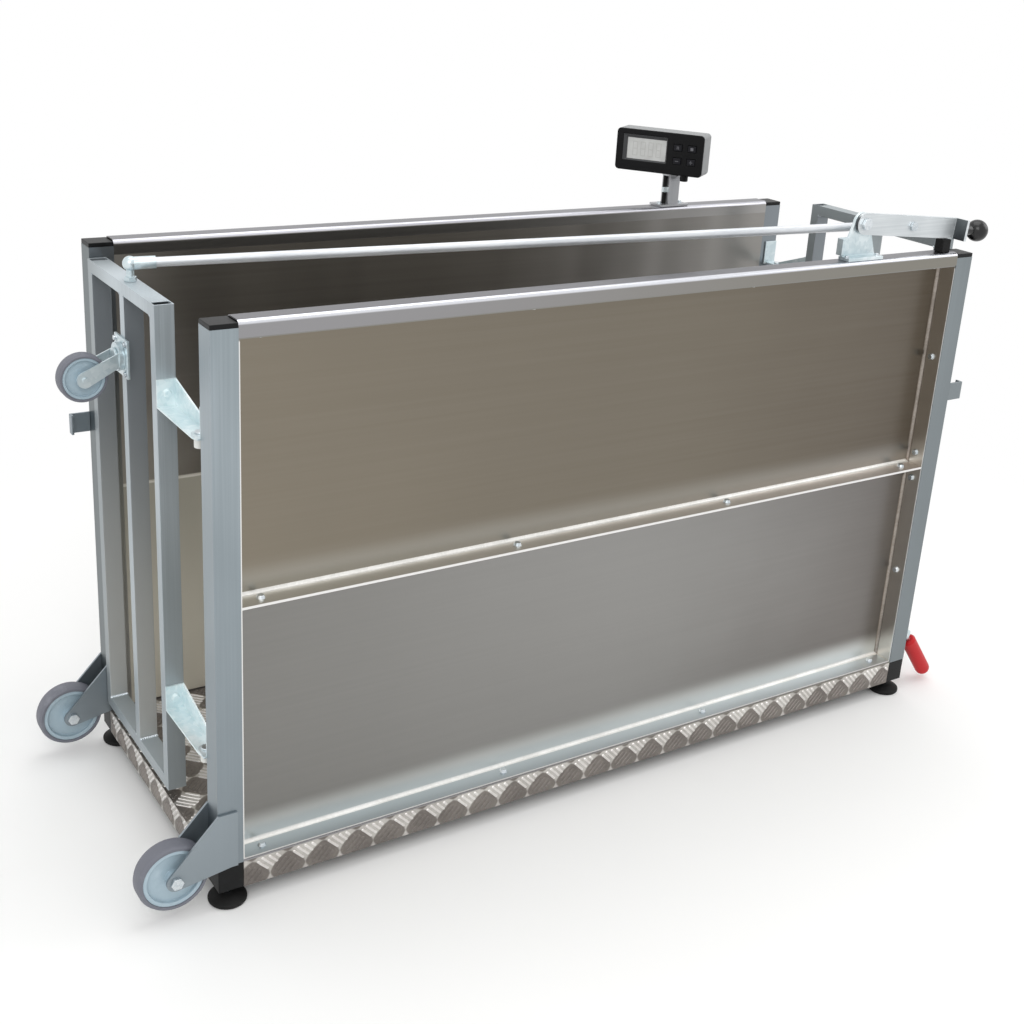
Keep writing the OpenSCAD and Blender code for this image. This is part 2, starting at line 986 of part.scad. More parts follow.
// Lever bracket with a foot on the near top rail and a bent stop for the open lever
module lever_bracket() {
    foot = lever_height * 1.1;
    tab = plate_line - lever_setback + lever_plate / 2;
    color("silver")
        translate([lever_x, -half_width, z_deck])
            difference() {
                union() {
                    translate([-foot, lever_setback / 4, 0])
                        cube([2 * foot, plate_back - lever_setback / 4, lever_plate]);
                    translate([0, plate_back, 0])
                        rotate([90, 0, 0])
                            linear_extrude(lever_plate) {
                                translate([0, lever_rise])
                                    circle(r = lever_height / 2);
                                polygon([
                                    [-foot, 0],
                                    [foot, 0],
                                    [lever_height / 2, lever_rise],
                                    [-lever_height / 2, lever_rise]
                                ]);
                                translate([-stop_left, stop_low])
                                    square([stop_left, stop_high - stop_low]);
                            }
                    translate([-stop_left, lever_setback, stop_low])
                        cube([lever_plate, tab, stop_high - stop_low]);
                }
                translate([0, 0, lever_rise])
                    along_y(plate_line - overrun, axle_radius + fit, lever_plate + 2 * overrun);
            }
}

module lever_pivot() {
    head = axle_radius;
    color("silver")
        translate([lever_x, -half_width, pivot_z]) {
            along_y(lever_setback - head - run_gap, axle_radius * 1.8, head, 6);
            along_y(lever_setback - run_gap, axle_radius, plate_back - lever_setback + run_gap + head);
            along_y(plate_back, axle_radius * 1.8, head, 6);
            along_y(bar_back + run_gap, axle_radius * 1.8, plate_line - bar_back - run_gap);
        }
}

module lever_rest() {
    color("black")
        translate([lever_x + rest_end - rest_length, -half_width + lever_setback / 2, z_deck])
            cube([rest_length, rest_width, rest_high]);
}

// Places a piece drawn on the lever with its pivot at the origin
module at_lever() {
    translate([lever_x, -half_width, pivot_z])
        rotate([0, lever_drop, 0])
            children();
}

module lever_bar() {
    half = lever_height / 2;
    color("gainsboro")
        at_lever()
            difference() {
                union() {
                    translate([0, bar_back, 0])
                        rotate([90, 0, 0])
                            linear_extrude(lever_plate) {
                                circle(r = half);
                                translate([0, -half])
                                    square([lever_length, lever_height]);
                            }
                    translate([lever_length - lever_plate, bar_back - lever_bend, -half])
                        cube([lever_plate, lever_bend, lever_height]);
                }
                along_y(lever_setback - overrun, axle_radius + run_fit, lever_plate + 2 * overrun);
                translate([rod_arm, 0, 0])
                    along_y(lever_setback - overrun, pin_radius + run_fit, lever_plate + 2 * overrun);
            }
}

module lever_knob() {
    color("black")
        at_lever()
            translate([lever_length, knob_line, 0]) {
                rotate([0, 90, 0])
                    cylinder(r = neck_radius, h = knob_reach);
                translate([knob_reach, 0, 0])
                    sphere(r = knob_radius);
            }
}

// Ball with a headed stud that turns in the lever bar
module ball_stud() {
    color("silver")
        at_lever()
            translate([rod_arm, 0, 0]) {
                along_y(lever_setback - pin_radius - run_gap, pin_radius * 1.7, pin_radius, 6);
                along_y(lever_setback - run_gap, pin_radius, ball_line - lever_setback + run_gap);
                translate([0, ball_line, 0])
                    sphere(r = ball_radius);
            }
}

// Rod with a socket round the ball of the lever
module control_rod() {
    socket = ball_radius * 1.5;
    depth = ball_radius * 1.2;
    start = ball_radius + 2 * ball_gap;
    color("gainsboro")
        translate(rod_from) {
            rotate([90, 0, 0])
                difference() {
                    cylinder(r = socket, h = depth, center = true);
                    sphere(r = ball_radius + ball_gap);
                }
            rotate([0, rod_tip, rod_turn])
                translate([0, 0, start])
                    cylinder(r = rod_radius, h = rod_length - collar_length - start);
        }
}

// Joint over the middle of the exit gate, its stud standing just clear of the rail
module rod_joint() {
    stud = rod_radius * 0.8;
    color("silver") {
        translate(rod_from)
            rotate([0, rod_tip, rod_turn])
                translate([0, 0, rod_length - collar_length])
                    cylinder(r = collar_radius, h = collar_length);
        translate(rod_to)
            sphere(r = collar_radius * 1.15);
        translate([rod_to[0], rod_to[1], z_post + gate_top + run_gap]) {
            cylinder(r = stud, h = joint_lift - run_gap);
            cylinder(r = collar_radius, h = joint_lift / 4, $fn = 6);
        }
    }
}

module indicator_pole() {
    base = post_size * 0.9;
    color("gainsboro")
        translate([pole_x, pole_y, z_deck]) {
            translate([-base, -base / 2, 0])
                cube([2 * base, base, pole_plate]);
            difference() {
                translate([-pole_side / 2, -pole_side / 2, pole_plate])
                    cube([pole_side, pole_side, pole_height - 2 * pole_plate]);
                translate([tube_wall - pole_side / 2, tube_wall - pole_side / 2, pole_plate])
                    cube([pole_side - 2 * tube_wall, pole_side - 2 * tube_wall, pole_height]);
                translate([-pole_side, -tube_wall, pole_plate])
                    cube([pole_side, 2 * tube_wall, 2 * tube_wall]);
            }
            translate([0, 0, pole_height - pole_plate])
                cylinder(r = pole_side * 0.75, h = pole_plate);
        }
}

// Signal cable clipped to the face of the pole towards the exit
module indicator_cable() {
    color("black")
        translate([pole_x - pole_side / 2 - cable_radius - fit, pole_y, z_deck + pole_plate])
            cylinder(r = cable_radius, h = pole_height - 2 * pole_plate - run_gap);
}

// Places a piece drawn on the indicator with its front towards the near wall
module at_indicator() {
    translate([pole_x, pole_y, z_indicator])
        rotate([0, 0, indicator_turn])
            translate([-indicator_shift, 0, 0])
                children();
}

// Plate with round corners standing on z = 0, its back at the given depth
module rounded_plate(width, high, corner, depth, back) {
    translate([0, back, 0])
        rotate([90, 0, 0])
            linear_extrude(depth) {
                translate([-width / 2, corner])
                    square([width, high - 2 * corner]);
                translate([corner - width / 2, 0])
                    square([width - 2 * corner, high]);
                for (x = [corner - width / 2, width / 2 - corner], z = [corner, high - corner])
                    translate([x, z])
                        circle(r = corner);
            }
}

module indicator_housing() {
    inner = indicator_width - 2 * housing_wall;
    high = indicator_height - 2 * housing_wall;
    inner_corner = indicator_corner - housing_wall;
    depth = indicator_depth - front_plate;
    back = indicator_depth / 2;
    color("lightgray")
        at_indicator()
            difference() {
                rounded_plate(indicator_width, indicator_height, indicator_corner, depth, back);
                translate([0, 0, housing_wall])
                    rounded_plate(inner, high, inner_corner, depth, back - housing_wall);
            }
}

// Places a key drawn with its face on the front of the indicator
module at_key(i) {
    column = key_column_shares[i % 2];
    row = key_row_shares[floor(i / 2)];
    at_indicator()
        translate([(column - 0.5) * indicator_width, front_y, row * indicator_height])
            children();
}

module indicator_front() {
    color("black")
        difference() {
            at_indicator()
                difference() {
                    rounded_plate(
                        indicator_width, indicator_height, indicator_corner, front_plate, front_y + front_plate
                    );
                    translate([
                        (lcd_left_share - 0.5) * indicator_width,
                        front_y - overrun,
                        lcd_low_share * indicator_height
                    ])
                        cube([
                            (lcd_right_share - lcd_left_share) * indicator_width,
                            front_plate + 2 * overrun,
                            (lcd_high_share - lcd_low_share) * indicator_height
                        ]);
                }
            for (i = [0 : 3])
                at_key(i)
                    translate([-key_width / 2 - run_gap, -overrun, -key_height / 2 - run_gap])
                        cube([key_width + 2 * run_gap, front_plate + 2 * overrun, key_height + 2 * run_gap]);
        }
}

module lcd_window() {
    margin = housing_wall;
    color("darkseagreen")
        at_indicator()
            translate([
                (lcd_left_share - 0.5) * indicator_width - margin,
                front_y + front_plate,
                lcd_low_share * indicator_height - margin
            ])
                cube([
                    (lcd_right_share - lcd_left_share) * indicator_width + 2 * margin,
                    housing_wall,
                    (lcd_high_share - lcd_low_share) * indicator_height + 2 * margin
                ]);
}

// Circuit board behind the display and the keys
module indicator_board() {
    width = indicator_width - 4 * housing_wall;
    high = indicator_height - 4 * housing_wall;
    color("darkgreen")
        at_indicator()
            translate([-width / 2, front_y + front_plate + housing_wall, 2 * housing_wall])
                cube([width, tube_wall, high]);
}

module indicator_plug() {
    color("black")
        at_indicator()
            translate([indicator_width * plug_share, -indicator_depth / 4, -gland_radius * 1.5])
                cylinder(r = gland_radius, h = gland_radius * 1.5);
}

// Key with a flange behind the front that keeps it in its hole
module front_key(i) {
    proud = front_plate / 3;
    color("dimgray")
        at_key(i) {
            translate([-key_width / 2, -proud, -key_height / 2])
                cube([key_width, proud + front_plate + run_gap, key_height]);
            translate([-key_width / 2 - proud, front_plate + run_gap, -key_height / 2 - proud])
                cube([key_width + 2 * proud, proud, key_height + 2 * proud]);
        }
}

module key_1() {
    front_key(0);
}

module key_2() {
    front_key(1);
}

module key_3() {
    front_key(2);
}

module key_4() {
    front_key(3);
}

// Places a piece drawn on a lift handle that points along +X from its pivot
module at_handle(sy) {
    mirror([0, sy > 0 ? 1 : 0, 0])
        translate([half_length + handle_reach, -half_width + post_size / 2, z_post + handle_lift])
            children();
}

// Two ears on the post with the pivot pin of the lift handle between them
module handle_lugs() {
    ear = arm_plate;
    gap = handle_radius + run_gap;
    high = handle_radius * 3;
    color("silver")
        for (sy = [-1, 1])
            at_handle(sy) {
                for (y = [-gap - ear, gap])
                    translate([0, y + ear, 0])
                        rotate([90, 0, 0])
                            linear_extrude(ear) {
                                circle(r = high / 2);
                                translate([-handle_reach, -high / 2])
                                    square([handle_reach, high]);
                            }
                along_y(-gap - ear, handle_radius * 0.6, 2 * (gap + ear));
            }
}

module handle_bar(sy) {
    eye = 2 * handle_radius;
    color("silver")
        at_handle(sy)
            rotate([0, 90 - handle_slope, 0])
                difference() {
                    union() {
                        along_y(-handle_radius, handle_radius * 1.3, eye);
                        rotate([0, 90, 0])
                            cylinder(r = handle_radius, h = grip_end - grip_radius);
                    }
                    along_y(-handle_radius - overrun, handle_radius * 0.6 + run_fit, eye + 2 * overrun);
                }
}

module handle_grip(sy) {
    color("red")
        at_handle(sy)
            rotate([0, 90 - handle_slope, 0])
                rotate([0, 90, 0])
                    difference() {
                        union() {
                            translate([0, 0, grip_start + grip_radius / 3])
                                cylinder(r = grip_radius, h = grip_length - grip_radius * 4 / 3);
                            translate([0, 0, grip_start])
                                cylinder(r1 = grip_radius * 0.75, r2 = grip_radius, h = grip_radius / 3);
                            translate([0, 0, grip_end - grip_radius])
                                sphere(r = grip_radius);
                        }
                        translate([0, 0, grip_start - overrun])
                            cylinder(r = handle_radius + fit, h = grip_length + overrun - grip_radius);
                    }
}

module near_handle_bar() {
    handle_bar(-1);
}

module near_handle_grip() {
    handle_grip(-1);
}

module far_handle_bar() {
    handle_bar(1);
}

module far_handle_grip() {
    handle_grip(1);
}

// The origin lies on the ground, midway between the knob and the far corner of the indicator
translate([0, -middle_y, 0]) {
    post_near_left();
    post_far_left();
    post_near_right();
    post_far_right();
    post_caps();
    corner_blocks();
    top_rails();
    bottom_rails();
    near_upper_sheet();
    near_lower_sheet();
    far_upper_sheet();
    far_lower_sheet();
    sheet_bolts();
    floor_pan();
    load_cells();
    junction_box();
    foot_studs();
    foot_pads();
    wheel_brackets();
    wheel_axles();
    hinge_lugs();
    hinge_pins();
    hinge_bushes();
    gate_keepers();
    lever_bracket();
    lever_pivot();
    lever_rest();
    indicator_pole();
    indicator_cable();
    handle_lugs();
    near_wheel_rim();
    near_wheel_tyre();
    far_wheel_rim();
    far_wheel_tyre();
    exit_gate_frame();
    exit_hinge_arms();
    castor_plate();
    castor_fork();
    castor_rim();
    castor_tyre();
    entry_gate_frame();
    entry_hinge_arms();
    lever_bar();
    lever_knob();
    ball_stud();
    control_rod();
    rod_joint();
    indicator_housing();
    indicator_front();
    lcd_window();
    indicator_board();
    indicator_plug();
    key_1();
    key_2();
    key_3();
    key_4();
    near_handle_bar();
    near_handle_grip();
    far_handle_bar();
    far_handle_grip();
}
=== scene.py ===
# %% [markdown]
# # A livestock weighing crate
# The crate is a long open-topped box of bright metal: four square posts, two sheet walls,
# a tread floor on load cells, a bar gate at each end, a lever with a rod, carrying wheels
# and a weight indicator. The solids come from the packed frame; this lesson gives them
# rounded edges, finishes, the raised tread, welds and small fittings, and a studio.

# %% Load the frame
import math

import bpy
from mathutils import Matrix, Vector


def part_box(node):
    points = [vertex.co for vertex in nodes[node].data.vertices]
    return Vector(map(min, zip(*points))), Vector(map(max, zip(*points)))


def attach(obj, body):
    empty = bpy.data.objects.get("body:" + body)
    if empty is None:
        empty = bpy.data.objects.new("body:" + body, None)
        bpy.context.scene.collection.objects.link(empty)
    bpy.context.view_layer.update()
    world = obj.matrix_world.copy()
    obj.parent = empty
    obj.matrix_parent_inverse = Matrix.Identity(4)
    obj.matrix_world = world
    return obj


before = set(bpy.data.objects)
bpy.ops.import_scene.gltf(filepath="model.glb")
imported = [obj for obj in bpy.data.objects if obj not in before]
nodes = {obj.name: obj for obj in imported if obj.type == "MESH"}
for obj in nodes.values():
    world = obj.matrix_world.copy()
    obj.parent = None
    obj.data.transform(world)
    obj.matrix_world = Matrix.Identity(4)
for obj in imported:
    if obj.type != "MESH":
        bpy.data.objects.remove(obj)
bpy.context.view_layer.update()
scene = bpy.context.scene
MID_Y = sum(corner.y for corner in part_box("floor_pan")) / 2

# %% [markdown]
# ## The camera
# A camera match is found by measuring a few long straight edges of the object. The crate's
# own posts and rails gave the standing point, the turn, the slight roll and the lens. A
# constraint could aim the camera at the crate, but it would lose the roll, so three angles
# are turned into a matrix. A small shift keeps the crate where it sits in the picture.

# %% Camera
TURN, RISE, ROLL = map(math.radians, (-34.116, 20.149, 3.712))
STANDING = (-1.3785, MID_Y - 1.9776, 1.4154)
FOCAL_PIXELS, PICTURE_PIXELS, SENSOR = 1414.2, 1024, 36
back = Vector((math.sin(TURN) * math.cos(RISE), -math.cos(TURN) * math.cos(RISE), math.sin(RISE)))
right = Vector((math.cos(TURN), math.sin(TURN), 0))
up = back.cross(right)
right, up = (
    math.cos(ROLL) * right + math.sin(ROLL) * up,
    math.cos(ROLL) * up - math.sin(ROLL) * right,
)
lens = bpy.data.cameras.new("camera")
lens.sensor_width = SENSOR
lens.lens = FOCAL_PIXELS * SENSOR / PICTURE_PIXELS
lens.shift_x, lens.shift_y = -0.0134, -0.0557
lens.clip_start, lens.clip_end = 0.05, 100
camera = bpy.data.objects.new("camera", lens)
camera.matrix_world = Matrix((right, up, back)).transposed().to_4x4()
camera.location = STANDING
scene.collection.objects.link(camera)
scene.camera = camera
print("camera at", [round(v, 3) for v in camera.location], "lens", round(lens.lens, 2))

# %% [markdown]
# ## Sums with sockets
# A shader is a web of nodes, and small sums such as 1 - mask take many clicks or many lines.
# Wrapping a socket in a class with its own plus and minus lets Python write the sum, and each
# operator adds one Math node. Every other node comes from one method, so that a finish can be
# read from top to bottom like a recipe.

# %% A socket that can be added and multiplied
class Wire:
    """An output socket in a node tree, usable in Python sums."""

    def __init__(self, tree, socket=None):
        self.tree, self.socket = tree, socket

    def node(self, kind, settings=None, sockets=None, out=0):
        """Adds a node: its type, then its settings, then values or links for its sockets."""
        made = self.tree.nodes.new(kind)
        for name, value in (settings or {}).items():
            setattr(made, name, value)
        for key, value in (sockets or {}).items():
            if isinstance(value, Wire):
                self.tree.links.new(value.socket, made.inputs[key])
            else:
                made.inputs[key].default_value = value
        return Wire(self.tree, made.outputs[out])

    def maths(self, operation, a, b=0.0):
        """Adds one Math node."""
        return self.node("ShaderNodeMath", {"operation": operation}, {0: a, 1: b})

    def __add__(self, other):
        return self.maths("ADD", self, other)

    __radd__ = __add__

    def __sub__(self, other):
        return self.maths("SUBTRACT", self, other)

    def __rsub__(self, other):
        return self.maths("SUBTRACT", other, self)

    def __mul__(self, other):
        return self.maths("MULTIPLY", self, other)

    __rmul__ = __mul__

    def __pow__(self, other):
        return self.maths("POWER", self, other)

    def __rpow__(self, other):
        return self.maths("POWER", other, self)

    def __neg__(self):
        return 0.0 - self

    def __abs__(self):
        return self.maths("ABSOLUTE", self)

    def part(self, index):
        """One of the three parts of this vector."""
        return self.node("ShaderNodeSeparateXYZ", {}, {0: self}, out=index)

    def band(self, low, high):
        """0 below low, 1 above high, smooth between."""
        return self.node(
            "ShaderNodeMapRange",
            {"interpolation_type": "SMOOTHSTEP"},
            {"Value": self, "From Min": low, "From Max": high},
        )

    def tint(self, a, b):
        """Colour a where this is 0, colour b where it is 1."""
        colours = {6: a, 7: b}
        for key in colours:
            if not isinstance(colours[key], Wire):
                colours[key] = (*colours[key], 1)
        return self.node("ShaderNodeMix", {"data_type": "RGBA"}, {0: self, **colours}, out=2)


print("wire methods:", [name for name in vars(Wire) if not name.startswith("_")])

# %% [markdown]
# ## Colours and new finishes
# A colour code from a screen isn't linear, and a shader takes linear values, so each code is
# turned into them first. Every finish then starts in the same way: a new material, the place
# on the object as a wire, and a function that fills the shader's sockets. Place and facing
# are the object's own, so a finish stays where it is when a gate swings.

# %% Colours and finishes
def rgb(code):
    """A colour as it is seen on a screen, turned into the linear values a shader takes."""
    parts = [int(code[i : i + 2], 16) / 255 for i in (0, 2, 4)]
    return tuple(c / 12.92 if c <= 0.04045 else ((c + 0.055) / 1.055) ** 2.4 for c in parts)


def new_finish(name):
    """A new material: its place on the object as a wire, and a function that wires the shader."""
    material = bpy.data.materials.new(name)
    material.use_nodes = True
    tree = material.node_tree
    shader = tree.nodes["Principled BSDF"]
    place = Wire(tree).node("ShaderNodeTexCoord", out="Object")

    def wire(bump=None, lift=0.0, grain=0.001, **sockets):
        if bump is not None:
            sockets["Normal"] = place.node(
                "ShaderNodeBump", {}, {"Strength": lift, "Distance": grain, "Height": bump}
            )
        for key, value in sockets.items():
            key = key.replace("_", " ")
            if isinstance(value, Wire):
                tree.links.new(value.socket, shader.inputs[key])
            elif isinstance(value, tuple):
                shader.inputs[key].default_value = (*value, 1)
            else:
                shader.inputs[key].default_value = value
        return material

    return place, wire


print("colour check:", [round(c, 3) for c in rgb("7d7568")])

# %% [markdown]
# ## Bright metal
# Posts, gates, rod, pole and brackets are drawn tube and plate: fine streaks run along the
# length, and the shine is soft, a little cloudy and darker towards the ground and the entry
# end. A picture of brushed steel could be wrapped round each tube, but it would need
# unwrapping and would show its repeat. Noise stretched along one axis gives streaks at any
# size, a broad noise the clouds, and the height and the length the darkening. Tubes in the
# far half carry painted shade, except on faces that look away from the crate, and faces that
# look across the crate from its far half carry a painted reflection: the dark inside at the
# top and the bright ground at the bottom.

# %% Streaks and facing
def noise(place, stretch, detail=3.0, rough=0.5):
    """Noise on a place, with so many grains to the metre along each axis."""
    spread = place.node("ShaderNodeVectorMath", {"operation": "MULTIPLY"}, {0: place, 1: stretch})
    sockets = {"Vector": spread, "Scale": 1.0, "Detail": detail, "Roughness": rough}
    return place.node("ShaderNodeTexNoise", {}, sockets)


def facing(place, axis):
    """How far the surface looks along one of the object's own axes, from -1 to 1."""
    return place.node("ShaderNodeTexCoord", out="Normal").part(axis)


ALONG_X, ALONG_Z = (3, 300, 300), (300, 300, 3)
print("streaks to the metre, along a post:", ALONG_Z)

# %% Drawn tube
ENTRY_HALF, ENTRY_END = (0.0, 0.5), (0.45, 0.75)
FAR_HALF, INNER_HALF = (0.1, 0.25), (-0.04, 0.0)
TURNED = (0.5, 0.9)


def drawn_metal(
    name, dark, light, low, stretch, rough=0.36, metal=1.0, entry_tone="7b8183", far="586061", painted_reflection=1.0,
):
    """Streaked tube, darker by the ground and the entry end, with painted shade in the far half."""
    place, wire = new_finish(name)
    along, height = place.part(0), place.part(2)
    sideways, across = place.part(1) - MID_Y, facing(place, 1)
    streak = noise(place, stretch, detail=3.0)
    cloud = noise(place, (5, 5, 3), detail=2.0)
    tone = (0.35 * streak + 0.8 * cloud).band(0.35, 0.8).tint(rgb(dark), rgb(light))
    tone = (0.75 - 0.75 * height).band(0.0, 0.9).tint(tone, rgb(low))
    tone = (0.75 * along.band(*ENTRY_END)).tint(tone, rgb(entry_tone))
    # Painted shade in the far half, and a painted reflection on faces that look inward from it.
    shade = sideways.band(*FAR_HALF) * (0.8 - 0.6 * along.band(*ENTRY_HALF))
    tone = (shade * (1.0 - across.band(*TURNED))).tint(tone, rgb(far))
    inward = (-across).band(*TURNED) * sideways.band(*INNER_HALF)
    painted_reflection_tone = height.band(0.15, 0.8).tint(rgb("c4c6c4"), rgb("858b90"))
    return wire(
        Base_Color=(inward * painted_reflection).tint(tone, painted_reflection_tone),
        Metallic=metal,
        Roughness=rough - 0.05 + 0.12 * streak,
        bump=streak,
        lift=0.05,
        grain=0.0003,
    )


post_metal = drawn_metal("post metal", "959fa4", "abb5bb", "868f95", ALONG_Z)
gate_metal = drawn_metal(
    "gate metal", "a2abb0", "c3ccd1", "9fa7ab", ALONG_Z, 0.42, 0.5, entry_tone="8f9698", far="8f9698",
)
rod_metal = drawn_metal(
    "rod metal", "cfd3d8", "e6e9ec", "cfd3d8", ALONG_X,
    metal=0.45, entry_tone="c3c8ca", far="d4d8dc", painted_reflection=0.0,
)
pole_metal = drawn_metal(
    "pole metal", "a2a3a6", "bcbdc0", "a2a3a6", ALONG_Z,
    metal=0.9, entry_tone="a2a3a6", far="aaabae", painted_reflection=0.0,
)
bracket_metal = drawn_metal(
    "bracket metal", "98a2a7", "aeb8be", "8d969c", ALONG_Z, 0.4, 0.8, far="8d969c", painted_reflection=0.0,
)
tubes = (post_metal, gate_metal, rod_metal, pole_metal, bracket_metal)
print("tube finishes:", [m.name for m in tubes])

# %% [markdown]
# ## Lever bar
# The lever is flat bar, pale and brushed along its length. Its end is bent over to hold the
# knob, and the bent foot, which looks along the crate, carries a dark painted reflection of
# its side. The foot could be a piece with a finish of its own, but it is one bar with the
# rest, so the way a face points tells the foot from the bar.

# %% Flat bar
place, wire = new_finish("bar metal")
streak = noise(place, ALONG_X, detail=3.0)
cloud = noise(place, (9, 9, 9), detail=2.0)
brushed = (0.5 * streak + 0.6 * cloud).band(0.3, 0.8).tint(rgb("c4cacd"), rgb("e3e7e9"))
# The bent foot gets a dark painted reflection.
painted_foot_reflection = (-facing(place, 0)).band(*TURNED)
bar_metal = wire(
    Base_Color=painted_foot_reflection.tint(brushed, cloud.band(0.35, 0.65).tint(rgb("3c4043"), rgb("6a7072"))),
    Metallic=0.6,
    Roughness=0.35 + 0.12 * streak,
    bump=streak,
    lift=0.05,
    grain=0.0003,
)
print("bar finish:", bar_metal.name)

# %% [markdown]
# ## Rails
# The top rails are tubes with rounded upper edges. Their tones are painted light: the edges
# carry a painted highlight, the flat top a calm painted grey, and the upright faces a painted
# reflection of what is round them. Three materials on three sets of faces would leave hard
# lines. Here the way a face points picks its tone, and the tones blend round the curve. The
# inner face of the far rail carries painted shade, as it looks down into the dark crate.

# %% Rail finish
ROUND_EDGE, FLAT_TOP = (0.12, 0.4), (0.93, 0.995)
place, wire = new_finish("rail metal")
along, upward = place.part(0), facing(place, 2)
streak = noise(place, ALONG_X, detail=3.0)
cloud = noise(place, (2.5, 9, 9), detail=2.0)
# Painted reflection on the upright faces, paler towards the exit end.
reflection_fade = (along + 0.3 * cloud - 0.15).band(-0.75, 0.65)
far_rail = (place.part(1) - MID_Y).band(-0.1, 0.1)
# Painted shade on the inner face of the far rail, lighter towards the entry end.
far_inner_shade = along.band(-0.1, 0.6).tint(rgb("83817e"), rgb("a09e9c"))
upright = far_rail.tint(reflection_fade.tint(rgb("99989a"), rgb("8a877f")), far_inner_shade)
# The flat top in a calm painted grey, and a painted highlight on the rounded edges.
top = (0.5 * streak + 0.5 * cloud).band(0.3, 0.7).tint(rgb("6b6a6f"), rgb("7d7c81"))
edge = streak.band(0.2, 0.8).tint(far_rail.tint(rgb("cfd1d7"), rgb("a9a8b0")), rgb("dcdde2"))
tone = upward.band(*ROUND_EDGE).tint(upright, edge)
rail_metal = wire(
    Base_Color=upward.band(*FLAT_TOP).tint(tone, top),
    Metallic=1.0,
    Roughness=0.26 + 0.1 * streak,
    bump=streak,
    lift=0.04,
    grain=0.0003,
)
print("rail finish:", rail_metal.name)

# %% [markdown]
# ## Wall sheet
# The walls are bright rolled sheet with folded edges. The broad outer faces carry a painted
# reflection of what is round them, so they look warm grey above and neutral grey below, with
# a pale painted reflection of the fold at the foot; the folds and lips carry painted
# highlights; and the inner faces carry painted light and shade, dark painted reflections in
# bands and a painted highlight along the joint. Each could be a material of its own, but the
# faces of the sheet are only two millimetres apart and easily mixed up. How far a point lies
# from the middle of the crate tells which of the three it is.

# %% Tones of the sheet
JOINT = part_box("near_lower_sheet")[1].z


def outside_tone(spread, tones, painted_reflection):
    """Broad outer face from exit to entry, sheet grey with painted reflection, paler by the fold."""
    broad = spread.band(-0.75, 0.15).tint(rgb(tones[0]), rgb(tones[1]))
    broad = spread.band(0.15, 0.95).tint(broad, rgb(tones[2]))
    return painted_reflection.tint(broad, rgb("f2f5f2"))


def inside_tone(spread, height, tones, dark_reflection_bands, painted_shade):
    """Inner face, exit to entry, in painted light and shade, with a painted highlight at the joint."""
    inside = (spread + 0.25 * height).band(-0.5, -0.2).tint(rgb(tones[0]), rgb(tones[1]))
    inside = spread.band(0.0, 0.75).tint(inside, rgb(tones[2]))
    inside = dark_reflection_bands.tint(inside, rgb("4a4641"))
    inside = painted_shade.tint(inside, rgb("77756a"))
    # Painted highlight along the joint of the sheets.
    joint_highlight = 1.0 - abs(height - JOINT).band(0.0015, 0.004)
    return joint_highlight.tint(inside, rgb("efebe2"))


def fold_highlight(spread, along, tones, end_x):
    """Folded edges with a painted highlight, paler still at the two ends of the sheet."""
    fold = spread.band(-0.6, 0.9).tint(rgb(tones[0]), rgb(tones[1]))
    ends = abs(along).band(end_x - 0.004, end_x - 0.0025)
    return ends.tint(fold, rgb("d3cec6"))


print("joint of the sheets at height", round(JOINT, 4))

# %% Rolled sheet
SHEET, FOLD_REFLECTION = 0.002, 0.05
INNER_FACE, FLANGE, LIP = 0.2404, 0.2424, 0.2777
FACE_BLUR, FOLD_BLUR = 0.0012, 0.0008


def rolled_sheet(name, node, outside, within, fold_highlights, lip_tone, painted_light, shine):
    """Sheet finish; its outer, inner and fold tones, with their painted light, run from exit to entry.
    """
    place, wire = new_finish(name)
    low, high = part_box(node)
    along, height = place.part(0), place.part(2)
    depth = abs(place.part(1) - MID_Y)
    streak = noise(place, (2, 160, 160), detail=4.0)
    patch = noise(place, (2.6, 2.6, 3.6), detail=3.0, rough=0.55)
    # Dark bands of painted reflection, and painted shade towards the top, on the inner face.
    dark_reflection_bands = 0.7 * shine * noise(place, (7, 2, 0.6), detail=1.0).band(0.45, 0.7)
    painted_shade = 0.65 * painted_light * height.band(low.z + 0.1, high.z)
    foot = low.z + SHEET
    # A pale painted reflection of the fold along the foot of the outer face.
    painted_reflection = painted_light * (1.0 - (height - 0.012 * patch).band(foot, foot + FOLD_REFLECTION))
    spread = along + 0.3 * patch
    outer = depth.band(INNER_FACE, INNER_FACE + FACE_BLUR)
    face = outer.tint(
        inside_tone(spread, height, within, dark_reflection_bands, painted_shade), outside_tone(spread, outside, painted_reflection)
    )
    # Painted highlight on the folds.
    tone = depth.band(FLANGE, FLANGE + FOLD_BLUR).tint(face, fold_highlight(spread, along, fold_highlights, high.x))
    # Painted highlight on the lip, below its top few millimetres.
    lip_highlight = height.band(high.z - 0.006, high.z - 0.003).tint(rgb("efeeec"), rgb(lip_tone))
    tone = depth.band(LIP, LIP + FOLD_BLUR).tint(tone, lip_highlight)
    return wire(
        Base_Color=(0.06 * streak).tint(tone, rgb("cfccc6")),
        Metallic=shine + (1.0 - shine) * outer,
        Roughness=0.22 + 0.08 * streak + 0.1 * patch,
        bump=streak,
        lift=0.03,
        grain=0.0002,
    )


